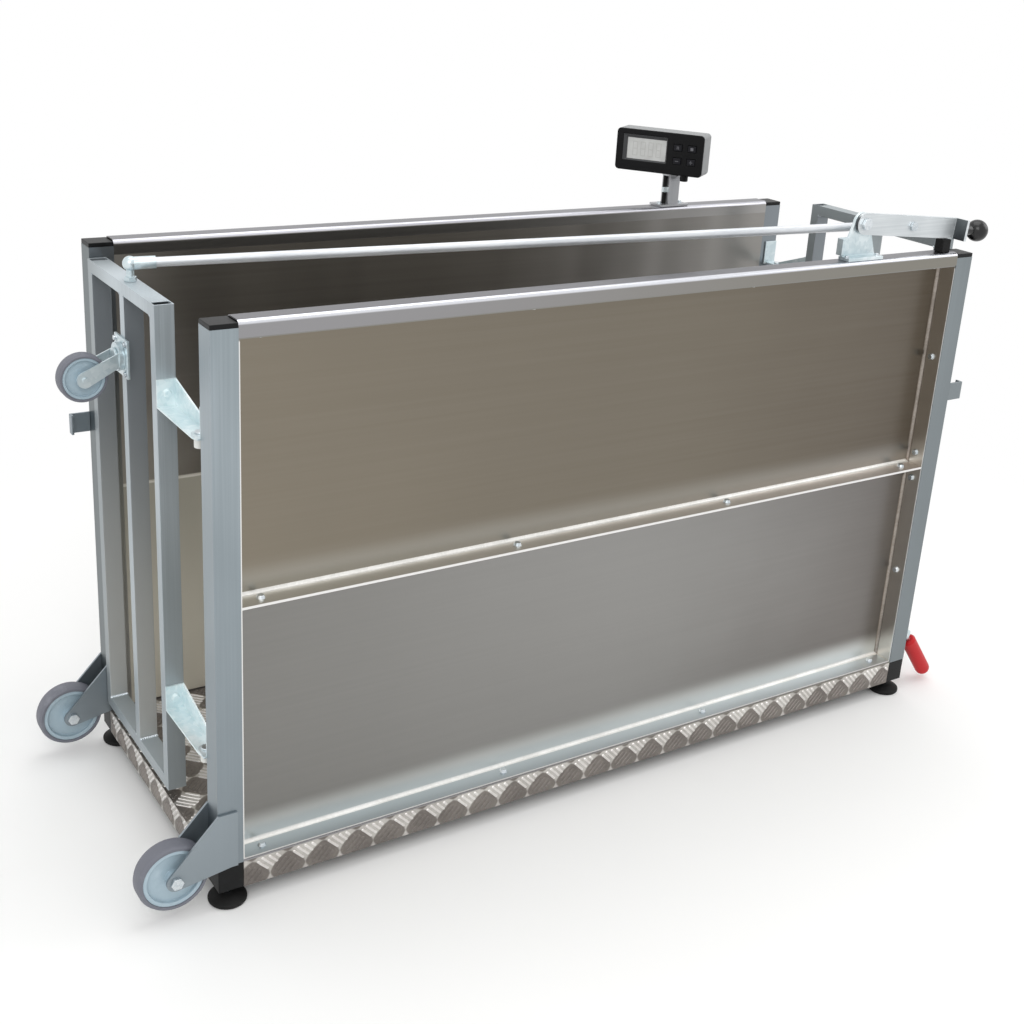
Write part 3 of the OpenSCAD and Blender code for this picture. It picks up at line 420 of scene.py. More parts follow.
# Outer tones are sheet grey with painted reflection, inner tones painted light and shade, fold tones
# painted highlights.
upper_sheet = rolled_sheet(
    "upper sheet",
    "near_upper_sheet",
    outside=("857d6f", "777064", "625a50"),
    within=("c4bfb8", "625d56", "979491"),
    fold_highlights=("d8d5cd", "e8dfd9"),
    lip_tone="8b8a86",
    painted_light=0.2,
    shine=0.6,
)
lower_sheet = rolled_sheet(
    "lower sheet",
    "near_lower_sheet",
    outside=("7f7e7b", "908f8d", "716d6a"),
    within=("e4dfd0", "dcd7c8", "a09d99"),
    fold_highlights=("b4bdc2", "c9cfd3"),
    lip_tone="efeeec",
    painted_light=0.8,
    shine=0.2,
)
print("sheet finishes:", [m.name for m in (upper_sheet, lower_sheet)])

# %% [markdown]
# ## Zinc plate
# Brackets, hinge arms, bolts and the castor fork are zinc plated: paler and bluer than the
# tubes, with a faint crystal mottle. Plain noise would look like dirt. Voronoi cells have
# straight borders, as crystals do, and at a few millimetres they give the mottle.

# %% Bright zinc
def zinc(name, dark, light, cell=140.0, rough=0.34, metal=1.0):
    """Plated metal between two tones, with cell crystals to the metre."""
    place, wire = new_finish(name)
    flake = place.node("ShaderNodeTexVoronoi", {}, {"Vector": place, "Scale": cell}, out="Color")
    grey = place.node("ShaderNodeSeparateColor", {}, {0: flake})
    cloud = noise(place, (18, 18, 18), detail=2.0)
    tone = (0.2 * grey + 0.9 * cloud).band(0.3, 0.85)
    return wire(
        Base_Color=tone.tint(rgb(dark), rgb(light)),
        Metallic=metal,
        Roughness=rough - 0.05 + 0.12 * cloud,
        bump=cloud,
        lift=0.04,
        grain=0.0004,
    )


zinc_plate = zinc("zinc plate", "c3d2d7", "eaf2f4", metal=0.7)
arm_zinc = zinc("arm zinc", "d2e4e8", "f2fafb", metal=0.5)
zinc_bolt = zinc("zinc bolt", "bcc5ca", "e6ebee", 400.0, 0.26)
# Two copies of one finish for the bends of the sheets: bright, a painted highlight, and darker, painted
# shade.
bend_highlight = zinc("bend metal", "e4e3df", "f7f6f3", 300.0, 0.3, 0.6)
bend_shade = zinc("end bend metal", "877f77", "a59d95", 300.0, 0.3)
weld_metal = zinc("weld metal", "9aa4aa", "d5dde1", 700.0, 0.3)
cast_metal = zinc("cell metal", "8f9294", "b4b6b8", 260.0, 0.45)
print("zinc finishes:", [m.name for m in (zinc_plate, arm_zinc, zinc_bolt, bend_highlight, weld_metal)])

# %% [markdown]
# ## Tread plate
# The floor is five-bar tread plate: fields of short bars that lean one way, next to fields
# that lean the other way. From one side the fields look dark and bright in turn, as the light
# falls on them. A bump would look flat from the side, so the bars are real mesh further down,
# and this finish paints every second field of the plate bright, a painted sheen, with trodden
# dirt over all. The fields are squares on edge, so two zigzags added together draw them.

# %% Tread metal
PITCH, START, MIDDLE = 0.059, 0.0265, 0.0405
FIELD_CURVE = 1.35


def zigzag(wire):
    """0 at each whole number and 1 half way between two of them."""
    return wire.maths("PINGPONG", wire, 0.5) * 2.0


def tread_metal(name, dark, light, rough, field_sheen=False):
    """Trodden metal; if asked, every second field of the plate gets a painted sheen."""
    place, wire = new_finish(name)
    dirt = noise(place, (14, 14, 14), detail=5.0, rough=0.65)
    speck = noise(place, (240, 240, 240), detail=2.0)
    tone = (0.8 * dirt + 0.35 * speck).band(0.32, 0.82)
    colour = tone.tint(rgb(dark), rgb(light))
    if field_sheen:
        flat, ends = (abs(facing(place, axis)).band(0.4, 0.6) for axis in (2, 0))
        along = ends * (place.part(1) - MID_Y) + (1.0 - ends) * (place.part(0) - START)
        sideways = flat * (place.part(1) - MID_Y) + (1.0 - flat) * (place.part(2) - MIDDLE)
        zig, zag = (zigzag(way * (1 / PITCH)) for way in (along, sideways))
        dome = zig**FIELD_CURVE + zag**FIELD_CURVE
        # Painted sheen on every second field.
        sheen = tone.tint(rgb("b5b1ac"), rgb("d6d3ce"))
        colour = (dome + 0.25 * dirt).band(1.02, 1.2).tint(colour, sheen)
    return wire(
        Base_Color=colour,
        Metallic=0.75,
        Roughness=rough + 0.2 * dirt,
        bump=speck,
        lift=0.12,
        grain=0.0004,
    )


tread_plate = tread_metal("tread plate", "716b67", "8d8781", 0.36, field_sheen=True)
dark_bar = tread_metal("dark tread bar", "706a66", "8d8782", 0.3)
# Bars of the bright fields: a painted sheen.
sheen_bar = tread_metal("bright tread bar", "dcd7d4", "f0eeeb", 0.26)
print("tread finishes:", tread_plate.name, dark_bar.name, sheen_bar.name)

# %% [markdown]
# ## Plastic and rubber
# Caps, blocks, knob and indicator are moulded plastic; feet, rest block and cable are
# rubber; tyres are grey rubber with scuffs. Each could have its own web of nodes, but they
# differ only in a few values. So one recipe covers them: a colour, a second colour for
# scuffs, a grain size and a roughness.

# %% Moulded parts
def moulded(name, base, scuffed, grain_scale, rough, scuff=0.5, lift=0.15, coat=0.0, gloss=0.5):
    """Plastic or rubber with a fine grain, and scuffs in a second colour."""
    place, wire = new_finish(name)
    grain = noise(place, (grain_scale,) * 3, detail=2.0)
    patch = noise(place, (30, 30, 30), detail=5.0, rough=0.65)
    mask = patch.band(0.52, 0.78) * scuff
    return wire(
        Base_Color=mask.tint(rgb(base), rgb(scuffed)),
        Roughness=rough + 0.12 * grain + 0.12 * mask,
        Coat_Weight=coat,
        Specular_IOR_Level=gloss,
        bump=grain,
        lift=lift,
        grain=0.0004,
    )


black_plastic = moulded("black plastic", "0d0e0f", "2e3032", 900, 0.36, gloss=0.22)
black_rubber = moulded("black rubber", "141414", "343331", 500, 0.62, lift=0.25, gloss=0.25)
grey_tyre = moulded("grey tyre", "70727b", "8b8d95", 420, 0.55, scuff=0.7, lift=0.25)
rim_plastic = moulded("rim plastic", "a6bac5", "c4d4dd", 700, 0.3, coat=0.3)
white_nylon = moulded("white nylon", "dfe0dc", "c4c5c0", 600, 0.42)
knob_plastic = moulded("knob plastic", "0a0a0b", "232426", 900, 0.16, scuff=0.2, lift=0.03)
red_grip = moulded("red grip", "bd1a20", "cb3b39", 380, 0.4, scuff=0.3, gloss=0.3)
housing_plastic = moulded("housing plastic", "8e9091", "7a7c7d", 800, 0.45)
front_plastic = moulded("front plastic", "0b0b0d", "1c1c20", 900, 0.34, scuff=0.3, lift=0.06, gloss=0.2)
# The display frame's dark grey is painted shade round the sunk display.
frame_shade_plastic = moulded("display frame plastic", "3f4042", "5a5b5d", 900, 0.5, scuff=0.3, lift=0.06)
key_plastic = moulded("key plastic", "1a1a1f", "33333a", 700, 0.4, gloss=0.2)
mark_paint = moulded("mark paint", "6d6d72", "84848a", 600, 0.5)
board_green = moulded("board laminate", "1f5c35", "2f7446", 300, 0.4)
print("moulded finishes:", [m.name for m in (black_plastic, black_rubber, grey_tyre, red_grip)])

# %% [markdown]
# ## Display
# A liquid crystal display is a pale grey sheet behind clear plastic. It could be made to
# glow, but at rest it only returns the light that falls on it. So it is a cloudy grey under a
# thin clear coat, and its resting segments are slightly darker bars in the same finish.

# %% Display finish
def display_finish(name, dark, light):
    """A slightly cloudy sheet behind clear plastic."""
    place, wire = new_finish(name)
    cloud = noise(place, (60, 60, 60), detail=1.0)
    return wire(
        Base_Color=cloud.band(0.2, 0.8).tint(rgb(dark), rgb(light)),
        Roughness=0.3 + 0.05 * cloud,
        Coat_Weight=0.3,
    )


display = display_finish("display", "c8c9c7", "d5d6d4")
segment_ink = display_finish("segment ink", "bcbdba", "c4c5c2")
print("display finishes:", display.name, segment_ink.name)

# %% [markdown]
# ## Rounded edges
# Real edges are never sharp, and a thin highlight along them makes metal look solid. The
# edges could be rounded in the mesh, but the solids of the frame stay as they are. A weld, a
# planar dissolve and a bevel modifier round them on top, and weighted normals keep the flats
# flat. A rounding stays under half the wall it sits on, or the two sides of a thin rim would
# cross.

# %% Dress a solid
FINE_EDGE, SAME_POINT = 0.0008, 0.00001
FLAT_ANGLE, SHARP_ANGLE = math.radians(0.5), math.radians(35)


def dress(name, material, edge):
    """Gives a solid its finish and rounds its edges, and leaves its own points alone."""
    solid = nodes[name]
    solid.data.materials.clear()
    solid.data.materials.append(material)
    for face in solid.data.polygons:
        face.use_smooth = True
    weld = solid.modifiers.new("weld", "WELD")
    weld.merge_threshold = SAME_POINT
    flat = solid.modifiers.new("flat", "DECIMATE")
    flat.decimate_type, flat.angle_limit = "DISSOLVE", FLAT_ANGLE
    bevel = solid.modifiers.new("edge", "BEVEL")
    bevel.width, bevel.segments = edge, 2
    bevel.limit_method, bevel.angle_limit = "ANGLE", SHARP_ANGLE
    bevel.use_clamp_overlap = True
    shade = solid.modifiers.new("shade", "WEIGHTED_NORMAL")
    shade.weight = 100


print("usual rounding:", FINE_EDGE * 1000, "mm")

# %% [markdown]
# ## Which solid gets which finish
# Each solid could be dressed by a line of its own, but sixty lines are hard to check. One
# list names the solids under the finish that each has on the real crate. A second list gives
# the finishes that need another rounding: moulded blocks and posts are rounder, thin sheet
# and glass sharper.

# %% Dress every solid
FINISHES = {
    post_metal: ["post_near_left", "post_far_left", "post_near_right", "post_far_right"],
    bracket_metal: ["wheel_brackets", "gate_keepers"],
    gate_metal: ["exit_gate_frame", "entry_gate_frame"],
    rail_metal: ["top_rails", "bottom_rails"],
    rod_metal: ["control_rod"],
    bar_metal: ["lever_bar"],
    pole_metal: ["indicator_pole"],
    upper_sheet: ["near_upper_sheet", "far_upper_sheet"],
    lower_sheet: ["near_lower_sheet", "far_lower_sheet"],
    zinc_plate: [
        "hinge_lugs", "lever_bracket", "handle_lugs", "castor_plate", "castor_fork", "rod_joint",
    ],
    arm_zinc: ["exit_hinge_arms", "entry_hinge_arms"],
    zinc_bolt: [
        "sheet_bolts", "foot_studs", "wheel_axles", "hinge_pins", "lever_pivot", "ball_stud",
        "near_handle_bar", "far_handle_bar",
    ],
    cast_metal: ["load_cells"],
    tread_plate: ["floor_pan"],
    black_plastic: ["post_caps", "corner_blocks", "junction_box", "indicator_plug"],
    black_rubber: ["foot_pads", "lever_rest", "indicator_cable"],
    grey_tyre: ["near_wheel_tyre", "far_wheel_tyre", "castor_tyre"],
    rim_plastic: ["near_wheel_rim", "far_wheel_rim", "castor_rim"],
    white_nylon: ["hinge_bushes"],
    knob_plastic: ["lever_knob"],
    red_grip: ["near_handle_grip", "far_handle_grip"],
    housing_plastic: ["indicator_housing"],
    front_plastic: ["indicator_front"],
    display: ["lcd_window"],
    board_green: ["indicator_board"],
    key_plastic: ["key_1", "key_2", "key_3", "key_4"],
}
EDGES = {
    post_metal: 0.0015,
    black_plastic: 0.0015,
    black_rubber: 0.0015,
    housing_plastic: 0.0012,
    front_plastic: 0.0015,
    upper_sheet: 0.0005,
    lower_sheet: 0.0005,
    display: 0.0002,
    board_green: 0.0002,
}
for material, names in FINISHES.items():
    for name in names:
        dress(name, material, EDGES.get(material, FINE_EDGE))
print("dressed:", sum(len(n) for n in FINISHES.values()), "of", len(nodes))

# %% [markdown]
# ## Pieces of mesh
# The smaller forms could be joined from Blender's own cubes and cylinders, but most of them
# are rings of points that follow a path, and a small class gathers those with less work. One
# function then turns such a shape into an object, hangs it on the body it moves with and
# names the finish it follows.

# %% From points to a piece
class Shape:
    """Points and faces of one piece, gathered bit by bit."""

    def __init__(self):
        self.points, self.faces = [], []

    def add(self, points, faces):
        first = len(self.points)
        self.points += points
        self.faces += [tuple(first + i for i in face) for face in faces]

    def rings(self, rings, closed=True, cap=True):
        """Joins rings of equally many points with quads."""
        count = len(rings[0])
        steps = count if closed else count - 1
        last = (len(rings) - 1) * count
        faces = []
        for below in range(0, last, count):
            above = below + count
            for i in range(steps):
                j = (i + 1) % count
                faces.append((below + i, below + j, above + j, above + i))
        if cap:
            faces.append(tuple(range(last, last + count)))
        self.add([p for ring in rings for p in ring], faces)


def piece(name, shape, material, body, smooth=True):
    """Makes an object of a shape, hangs it on a body and names the finish it follows."""
    mesh = bpy.data.meshes.new(name)
    mesh.from_pydata([tuple(p) for p in shape.points], [], shape.faces)
    mesh.materials.append(material)
    for face in mesh.polygons:
        face.use_smooth = smooth
    made = bpy.data.objects.new(name, mesh)
    scene.collection.objects.link(made)
    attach(made, body)
    return made


trial = Shape()
trial.rings([[(0, 0, z), (1, 0, z), (0, 1, z)] for z in (0, 1)])
print("faces of a trial shape of two rings:", len(trial.faces))

# %% [markdown]
# ## Bends of the wall sheets
# A folded sheet has a small inner radius, and this bend shows as a bright line. The sheet's
# own rounding has to stay finer than the sheet is thick, so it can't draw so wide a bend. Each
# bend is a strip that follows a quarter circle from one face to the other. The bends along the
# foot carry a painted highlight, and the others a darker copy of that finish, painted shade.

# %% Bends
X, Y, UP = Vector((1, 0, 0)), Vector((0, 1, 0)), Vector((0, 0, 1))
BEND, BEND_STEPS = 0.0055, 6


def bend(shape, corner, end, a, b):
    """Quarter-round strip from corner to end, hollow towards the directions a and b."""
    turns = [math.pi / 2 * i / BEND_STEPS for i in range(BEND_STEPS + 1)]
    rings = []
    for foot in (corner, end):
        middle = foot + BEND * (a + b)
        rings.append([middle - BEND * (math.cos(t) * a + math.sin(t) * b) for t in turns])
    shape.rings(rings, closed=False, cap=False)


for wall, out in (("near", -Y), ("far", Y)):
    low_bends, other_bends = Shape(), Shape()
    for sheet in ("upper", "lower"):
        low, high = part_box(f"{wall}_{sheet}_sheet")
        face = (high.y if wall == "near" else low.y) + SHEET * out.y
        exit_x, entry_x = low.x + SHEET, high.x - SHEET
        foot_z, head_z = low.z + SHEET, high.z - SHEET
        low_exit, low_entry = (Vector((x, face, foot_z)) for x in (exit_x, entry_x))
        top_exit, top_entry = (Vector((x, face, head_z)) for x in (exit_x, entry_x))
        bend(low_bends, low_exit, low_entry, out, UP)
        bend(other_bends, top_exit, top_entry, out, -UP)
        bend(other_bends, low_exit, top_exit, out, X)
        bend(other_bends, low_entry, top_entry, out, -X)
    # The bends along the foot carry a painted highlight, the others painted shade.
    piece(f"{wall}_sheet_bends", low_bends, bend_highlight, "crate")
    piece(f"{wall}_sheet_end_bends", other_bends, bend_shade, "crate")
    print(wall, "wall, faces of its bends:", len(low_bends.faces) + len(other_bends.faces))

# %% [markdown]
# ## Bars of the tread plate
# Each field holds five raised bars with sloping sides, the longest in the middle. An array
# modifier could repeat a field, but it can't cut bars where the plate ends. So each bar is
# laid by itself along a diagonal of its field and cut short at the edge. The bars stand a
# little over a millimetre proud, as on real plate.

# %% One bar, one field
FIELD = PITCH / math.sqrt(2)
BAR_WIDTH, BAR_HEIGHT, BAR_SLOPE = 0.0045, 0.0012, 0.001
BAR_TIP = [(0.35, 0.5), (0, 0.25), (0, -0.25), (0.35, -0.5)]
BAR_SHARES = (0.62, 0.8, 0.86, 0.8, 0.62)
EDGE_MARGIN, SHORTEST = 0.003, 0.006


def raised_bar(shape, start, end, up):
    """One bar with pointed ends and sloping sides, from start to end."""
    along = (end - start).normalized()
    side = up.cross(along)

    def ring(inset, lift):
        points = []
        for foot, way in ((start, 1), (end, -1)):
            for step, share in BAR_TIP:
                inward = way * (step * BAR_WIDTH + inset)
                aside = way * share * (BAR_WIDTH - 1.4 * inset)
                points.append(foot + along * inward + side * aside + up * lift)
        return points

    shape.rings([ring(0, 0), ring(BAR_SLOPE, BAR_HEIGHT)])


def bars_of_field(middle_u, middle_v, lean, reach_u, reach_v):
    """Ends of the five bars of a field, cut short where the plate ends."""
    for k, share in enumerate(BAR_SHARES):
        off = (k - 2) * FIELD / len(BAR_SHARES) / math.sqrt(2)
        bar_u, bar_v = middle_u - lean * off, middle_v + off
        high = share * FIELD / 2 / math.sqrt(2)
        low = -high
        for centre, slope, reach in ((bar_u, 1, reach_u), (bar_v, lean, reach_v)):
            cuts = sorted(((EDGE_MARGIN - centre) / slope, (reach - EDGE_MARGIN - centre) / slope))
            low, high = max(low, cuts[0]), min(high, cuts[1])
        if high - low > SHORTEST:
            yield [(bar_u + t, bar_v + lean * t) for t in (low, high)]


print("side of a field:", round(FIELD, 4))

# %% [markdown]
# ## Plates with bars
# The floor and its four skirts are bent from one plate, so the fields run on round the bend.
# Each face of the plate is a rectangle with its own two directions, and the same loops lay
# the fields on all of them. Dark and bright fields become a piece each, because a piece has
# one finish; the bars of the bright fields carry a painted sheen. The rows stop short of the
# posts.

# %% Tread bars
POST_GAP, END_GAP = 0.001, 0.008


def middles(reach, phase, shift):
    """Places of the fields along one side of a plate."""
    first, last = math.floor(-phase / PITCH) - 1, math.ceil((reach - phase) / PITCH) + 1
    return [phase + (i + shift) * PITCH for i in range(first, last)]


def tread(name, corner, u, v, up, reach_u, reach_v, phase_u, phase_v):
    """Fields of bars on a rectangle from corner along u and v, in a dark piece and a painted sheen
    piece.
    """
    count = 0
    for kind, lean, material in ((0, 1, dark_bar), (1, -1, sheen_bar)):
        shape = Shape()
        for middle_u in middles(reach_u, phase_u, kind / 2):
            for middle_v in middles(reach_v, phase_v, kind / 2):
                for ends in bars_of_field(middle_u, middle_v, lean, reach_u, reach_v):
                    raised_bar(shape, *(corner + u * a + v * b for a, b in ends), up)
                    count += 1
        piece(f"{name}_bars_{kind + 1}", shape, material, "crate", smooth=False)
    return count


low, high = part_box("floor_pan")
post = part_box("post_near_left")[1].x - low.x + POST_GAP
clear = post + END_GAP
bars = 0
for name, side in (("near_skirt", low.y), ("far_skirt", high.y)):
    out = -Y if side < 0 else Y
    bars += tread(
        name, Vector((low.x + post, side, low.z)), X, UP, out,
        high.x - low.x - 2 * post, high.z - low.z, START - low.x - post, MIDDLE - low.z,
    )
for name, side in (("exit_skirt", low.x), ("entry_skirt", high.x)):
    out = -X if side < 0 else X
    bars += tread(
        name, Vector((side, low.y + clear, low.z)), Y, UP, out,
        high.y - low.y - 2 * clear, high.z - low.z, MID_Y - low.y - clear, MIDDLE - low.z,
    )
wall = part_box("near_upper_sheet")[1].y
bars += tread(
    "floor", Vector((low.x, wall, high.z)), X, Y, UP,
    high.x - low.x, 2 * (MID_Y - wall), START - low.x, MID_Y - wall,
)
print("tread bars:", bars)

# %% [markdown]
# ## Welds of the gates
# The bars of each gate are welded to its rails in the inner corners. A weld is a row of
# overlapping drops. A plain tube would do from afar, but a short chain of flattened balls
# along the corner still looks like a weld from near by.

# %% Weld beads
DROP, DROPS, DROP_SIDES = 0.0042, 8, 8
DROP_HIGH, DROP_WIDE, DROP_LONG = 0.55, 1.05, 0.9
GATE_TUBE, MIDDLE_BAR, WELD_INSET = 0.02, 0.468, 0.001


def bead(shape, start, end, a, b):
    """Row of drops from start to end in the corner between the directions a and b."""
    along = (end - start).normalized()
    lift = (a + b).normalized()
    side = along.cross(lift)
    turns = [math.pi * 2 * i / DROP_SIDES for i in range(DROP_SIDES)]
    ways = [DROP_HIGH * math.cos(t) * lift + DROP_WIDE * math.sin(t) * side for t in turns]
    for d in range(DROPS):
        middle = start + (end - start) * ((d + 0.5) / DROPS)
        rings = []
        for t in (-1.0, -0.6, 0.0, 0.6, 1.0):
            radius = DROP * math.sqrt(max(0.0, 1.02 - t * t))
            rings.append([middle + along * t * DROP * DROP_LONG + radius * way for way in ways])
        shape.rings(rings, cap=False)


def gate_welds(node, body):
    """Beads in the inner corners of a gate; the entry gate is the exit gate turned about."""
    low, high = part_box(node)
    if body == "exit_gate":
        middle = low.y + MIDDLE_BAR * (high.y - low.y)
    else:
        middle = high.y - MIDDLE_BAR * (high.y - low.y)
    shape = Shape()
    half = GATE_TUBE / 2
    for y, sides in ((low.y + half, (1,)), (middle, (-1, 1)), (high.y - half, (-1,))):
        for way in sides:
            for z, rise in ((low.z + GATE_TUBE, 1), (high.z - GATE_TUBE, -1)):
                start = Vector((low.x + WELD_INSET, y + way * half, z))
                end = Vector((high.x - WELD_INSET, y + way * half, z))
                bead(shape, start, end, Y * way, UP * rise)
    piece(f"{body}_welds", shape, weld_metal, body)
    return len(shape.faces)


for body in ("exit_gate", "entry_gate"):
    print(body, "weld faces:", gate_welds(f"{body}_frame", body))

# %% [markdown]
# ## Bolts of the fittings
# The castor plate, the foot of the lever bracket and the foot of the pole are each held by
# small hexagon bolts on washers. A cylinder with six sides would lack the turned chamfer that
# makes a bolt look like one. So a head is a stack of rings: washer, six flats, chamfer.

# %% A bolt head
WASHER, WASHER_TOP = 0.0007, 0.0009


def bolt_head(shape, foot, axis, radius=0.0042, height=0.0028):
    """Washer and hexagon head, standing on foot along axis."""
    side = axis.orthogonal().normalized()
    other = axis.cross(side)

    def ring(r, lift, count=24, flats=False):
        points = []
        for t in (math.pi * 2 * i / count for i in range(count)):
            off_flat = (t + math.pi / 6) % (math.pi / 3) - math.pi / 6
            reach = r * math.cos(math.pi / 6) / math.cos(off_flat) if flats else r
            points.append(foot + axis * lift + reach * (math.cos(t) * side + math.sin(t) * other))
        return points

    shape.rings([ring(radius * 1.5, 0), ring(radius * 1.5, WASHER), ring(radius * 1.46, WASHER_TOP)])
    shape.rings([
        ring(radius, WASHER_TOP, flats=True),
        ring(radius, WASHER_TOP + height * 0.8, flats=True),
        ring(radius * 0.84, WASHER_TOP + height),
    ])


trial = Shape()
bolt_head(trial, Vector(), UP)
print("faces of one bolt head:", len(trial.faces))

# %% [markdown]
# ## Where the bolts sit
# The castor plate has a bolt in each corner, the lever bracket and the pole have one on each
# side of the foot. Typed places would go wrong if a solid moved, so they are worked out from
# the boxes of these solids. The castor's four ride on the gate, the others on the crate.

# %% Bolts
CASTOR_PLATE, CORNER_BOLT = 0.004, 0.023
BRACKET_END, BRACKET_SIDE, BRACKET_FOOT = 0.009, 0.0075, 0.006
POLE_END, POLE_FOOT = 0.01, 0.004
BRACKET_BOLT, POLE_BOLT = 0.0036, 0.004
shape = Shape()
low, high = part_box("castor_plate")
plate_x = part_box("exit_gate_frame")[0].x - CASTOR_PLATE
centre = (low + high) / 2
for y in (-CORNER_BOLT, CORNER_BOLT):
    for z in (-CORNER_BOLT, CORNER_BOLT):
        bolt_head(shape, Vector((plate_x, centre.y + y, centre.z + z)), -X)
piece("castor_plate_bolts", shape, zinc_bolt, "exit_gate")
shape = Shape()
low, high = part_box("lever_bracket")
for x in (low.x + BRACKET_END, high.x - BRACKET_END):
    bolt_head(shape, Vector((x, low.y + BRACKET_SIDE, low.z + BRACKET_FOOT)), UP, BRACKET_BOLT)
low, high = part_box("indicator_pole")
for x in (low.x + POLE_END, high.x - POLE_END):
    bolt_head(shape, Vector((x, (low.y + high.y) / 2, low.z + POLE_FOOT)), UP, POLE_BOLT)
piece("fitting_bolts", shape, zinc_bolt, "crate")
print("bolts placed, castor plate at x", round(plate_x, 4))

# %% [markdown]
# ## Face of the indicator
# The display sits behind a sloping frame, whose dark grey is painted shade round the sunk
# display. The frame is drawn in the indicator's own directions, as shares across and up its
# front, and then turned into place, because the indicator stands askew on its pole. Two
# rectangles at two depths make the slope.

# %% Display frame
low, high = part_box("indicator_pole")
POLE = (low + high) / 2
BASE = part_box("indicator_housing")[0].z
INDICATOR_TURN = math.radians(-54)
SPIN = Matrix.Rotation(INDICATOR_TURN, 3, "Z")
WIDTH, HEIGHT, DEPTH, SHIFT, FRONT = 0.180, 0.082, 0.055, 0.023, 0.004
FRAME_OUTSIDE, FRAME_INSIDE = (0.08, 0.25, 0.585, 0.87), (0.125, 0.285, 0.572, 0.79)
FRAME_SUNK, GLASS_GAP = 0.0003, 0.0004


def on_front(across_share, up_share, inward=0.0):
    """A point on the front, as shares of its width and height, moved inwards."""
    local = SPIN @ Vector(((across_share - 0.5) * WIDTH - SHIFT, inward - DEPTH / 2, 0))
    return Vector((POLE.x + local.x, POLE.y + local.y, BASE + up_share * HEIGHT))


def corners(left, foot, right_end, head):
    """The four corners of an upright rectangle, in order."""
    return [(left, foot), (right_end, foot), (right_end, head), (left, head)]


shape = Shape()
slope = ((FRAME_OUTSIDE, FRAME_SUNK), (FRAME_INSIDE, FRONT - GLASS_GAP))
shape.rings([[on_front(*p, inward) for p in corners(*sides)] for sides, inward in slope], cap=False)
# Its dark grey is painted shade round the sunk display.
piece("display_frame", shape, frame_shade_plastic, "indicator", smooth=False)
print("indicator base at", round(BASE, 4), "pole at", [round(v, 4) for v in POLE])

# %% [markdown]
# ## Segments of the display
# A resting display shows all seven bars of each digit, only a little darker than the sheet.
# They could be drawn by a texture, but that would blur from near by. Each bar is a thin plate
# on the display, listed by the corners of the digit that it joins.

# %% Segments
LYING = ((0, 0, 1, 0), (0, 1, 1, 1), (0, 2, 1, 2))
STANDING_UP = ((0, 0, 0, 1), (0, 1, 0, 2), (1, 0, 1, 1), (1, 1, 1, 2))
SEGMENTS = LYING + STANDING_UP
DIGITS, FIRST_DIGIT, NEXT_DIGIT = 4, 0.19, 0.09
DIGIT_WIDTH, DIGIT_FOOT, HALF_DIGIT = 0.05, 0.37, 0.165
HALF_WIDE, HALF_TALL, CORNER_GAP = 0.004, 0.009, 0.012
OFF_GLASS = (0.00005, 0.00015)
shape = Shape()
for digit in range(DIGITS):
    for x0, z0, x1, z1 in SEGMENTS:
        left, right_end = (FIRST_DIGIT + NEXT_DIGIT * digit + DIGIT_WIDTH * x for x in (x0, x1))
        foot, head = (DIGIT_FOOT + HALF_DIGIT * z for z in (z0, z1))
        gap = CORNER_GAP if (x0, z0, x1, z1) in LYING else 0
        left, right_end = left + gap - HALF_WIDE, right_end - gap + HALF_WIDE
        box = corners(left, foot - HALF_TALL, right_end, head + HALF_TALL)
        shape.rings([[on_front(*p, FRONT - depth) for p in box] for depth in OFF_GLASS])
piece("display_segments", shape, segment_ink, "indicator", smooth=False)
print("segments:", DIGITS * len(SEGMENTS))

# %% [markdown]
# ## Marks of the keys
# Each key carries a plain printed mark of one or two strokes. The marks could be part of the
# key's finish, but the four keys share one. So a stroke is a thin plate a hair proud of its
# key, and it rides on the key, so it goes in when the key does.

# %% Key marks
MARKS = {
    "key_1": [(-1, -0.15, 1, 0.15)],
    "key_2": [(-1, -0.15, 1, 0.15), (-0.15, -1, 0.15, 1)],
    "key_3": [(-0.6, -0.8, -0.25, 0.8), (0.25, -0.8, 0.6, 0.8)],
    "key_4": [(-0.8, -0.8, 0.8, 0.8)],
}
STROKE, INK = 0.0035, 0.00015
KEY_COLUMNS, KEY_ROWS = (0.71, 0.87), (0.34, 0.66)
for i, (key, strokes) in enumerate(MARKS.items()):
    shape = Shape()
    cx, cz = KEY_COLUMNS[i % 2], KEY_ROWS[i // 2]
    for stroke in strokes:
        box = [(cx + x * STROKE / WIDTH, cz + z * STROKE / HEIGHT) for x, z in corners(*stroke)]
        shape.rings([[on_front(*p, -FRONT / 3 - proud) for p in box] for proud in (0, INK)])
    piece(f"{key}_mark", shape, mark_paint, key, smooth=False)
print("key marks:", len(MARKS))

# %% [markdown]
# ## Cable clip
# The signal cable runs down the face of the pole towards the exit, under a bent strap with
# a flat ear on each side. A curve with a bevel would give a round wire, so the strap is a
# bent line that is drawn out over its width and then thickened by a modifier.

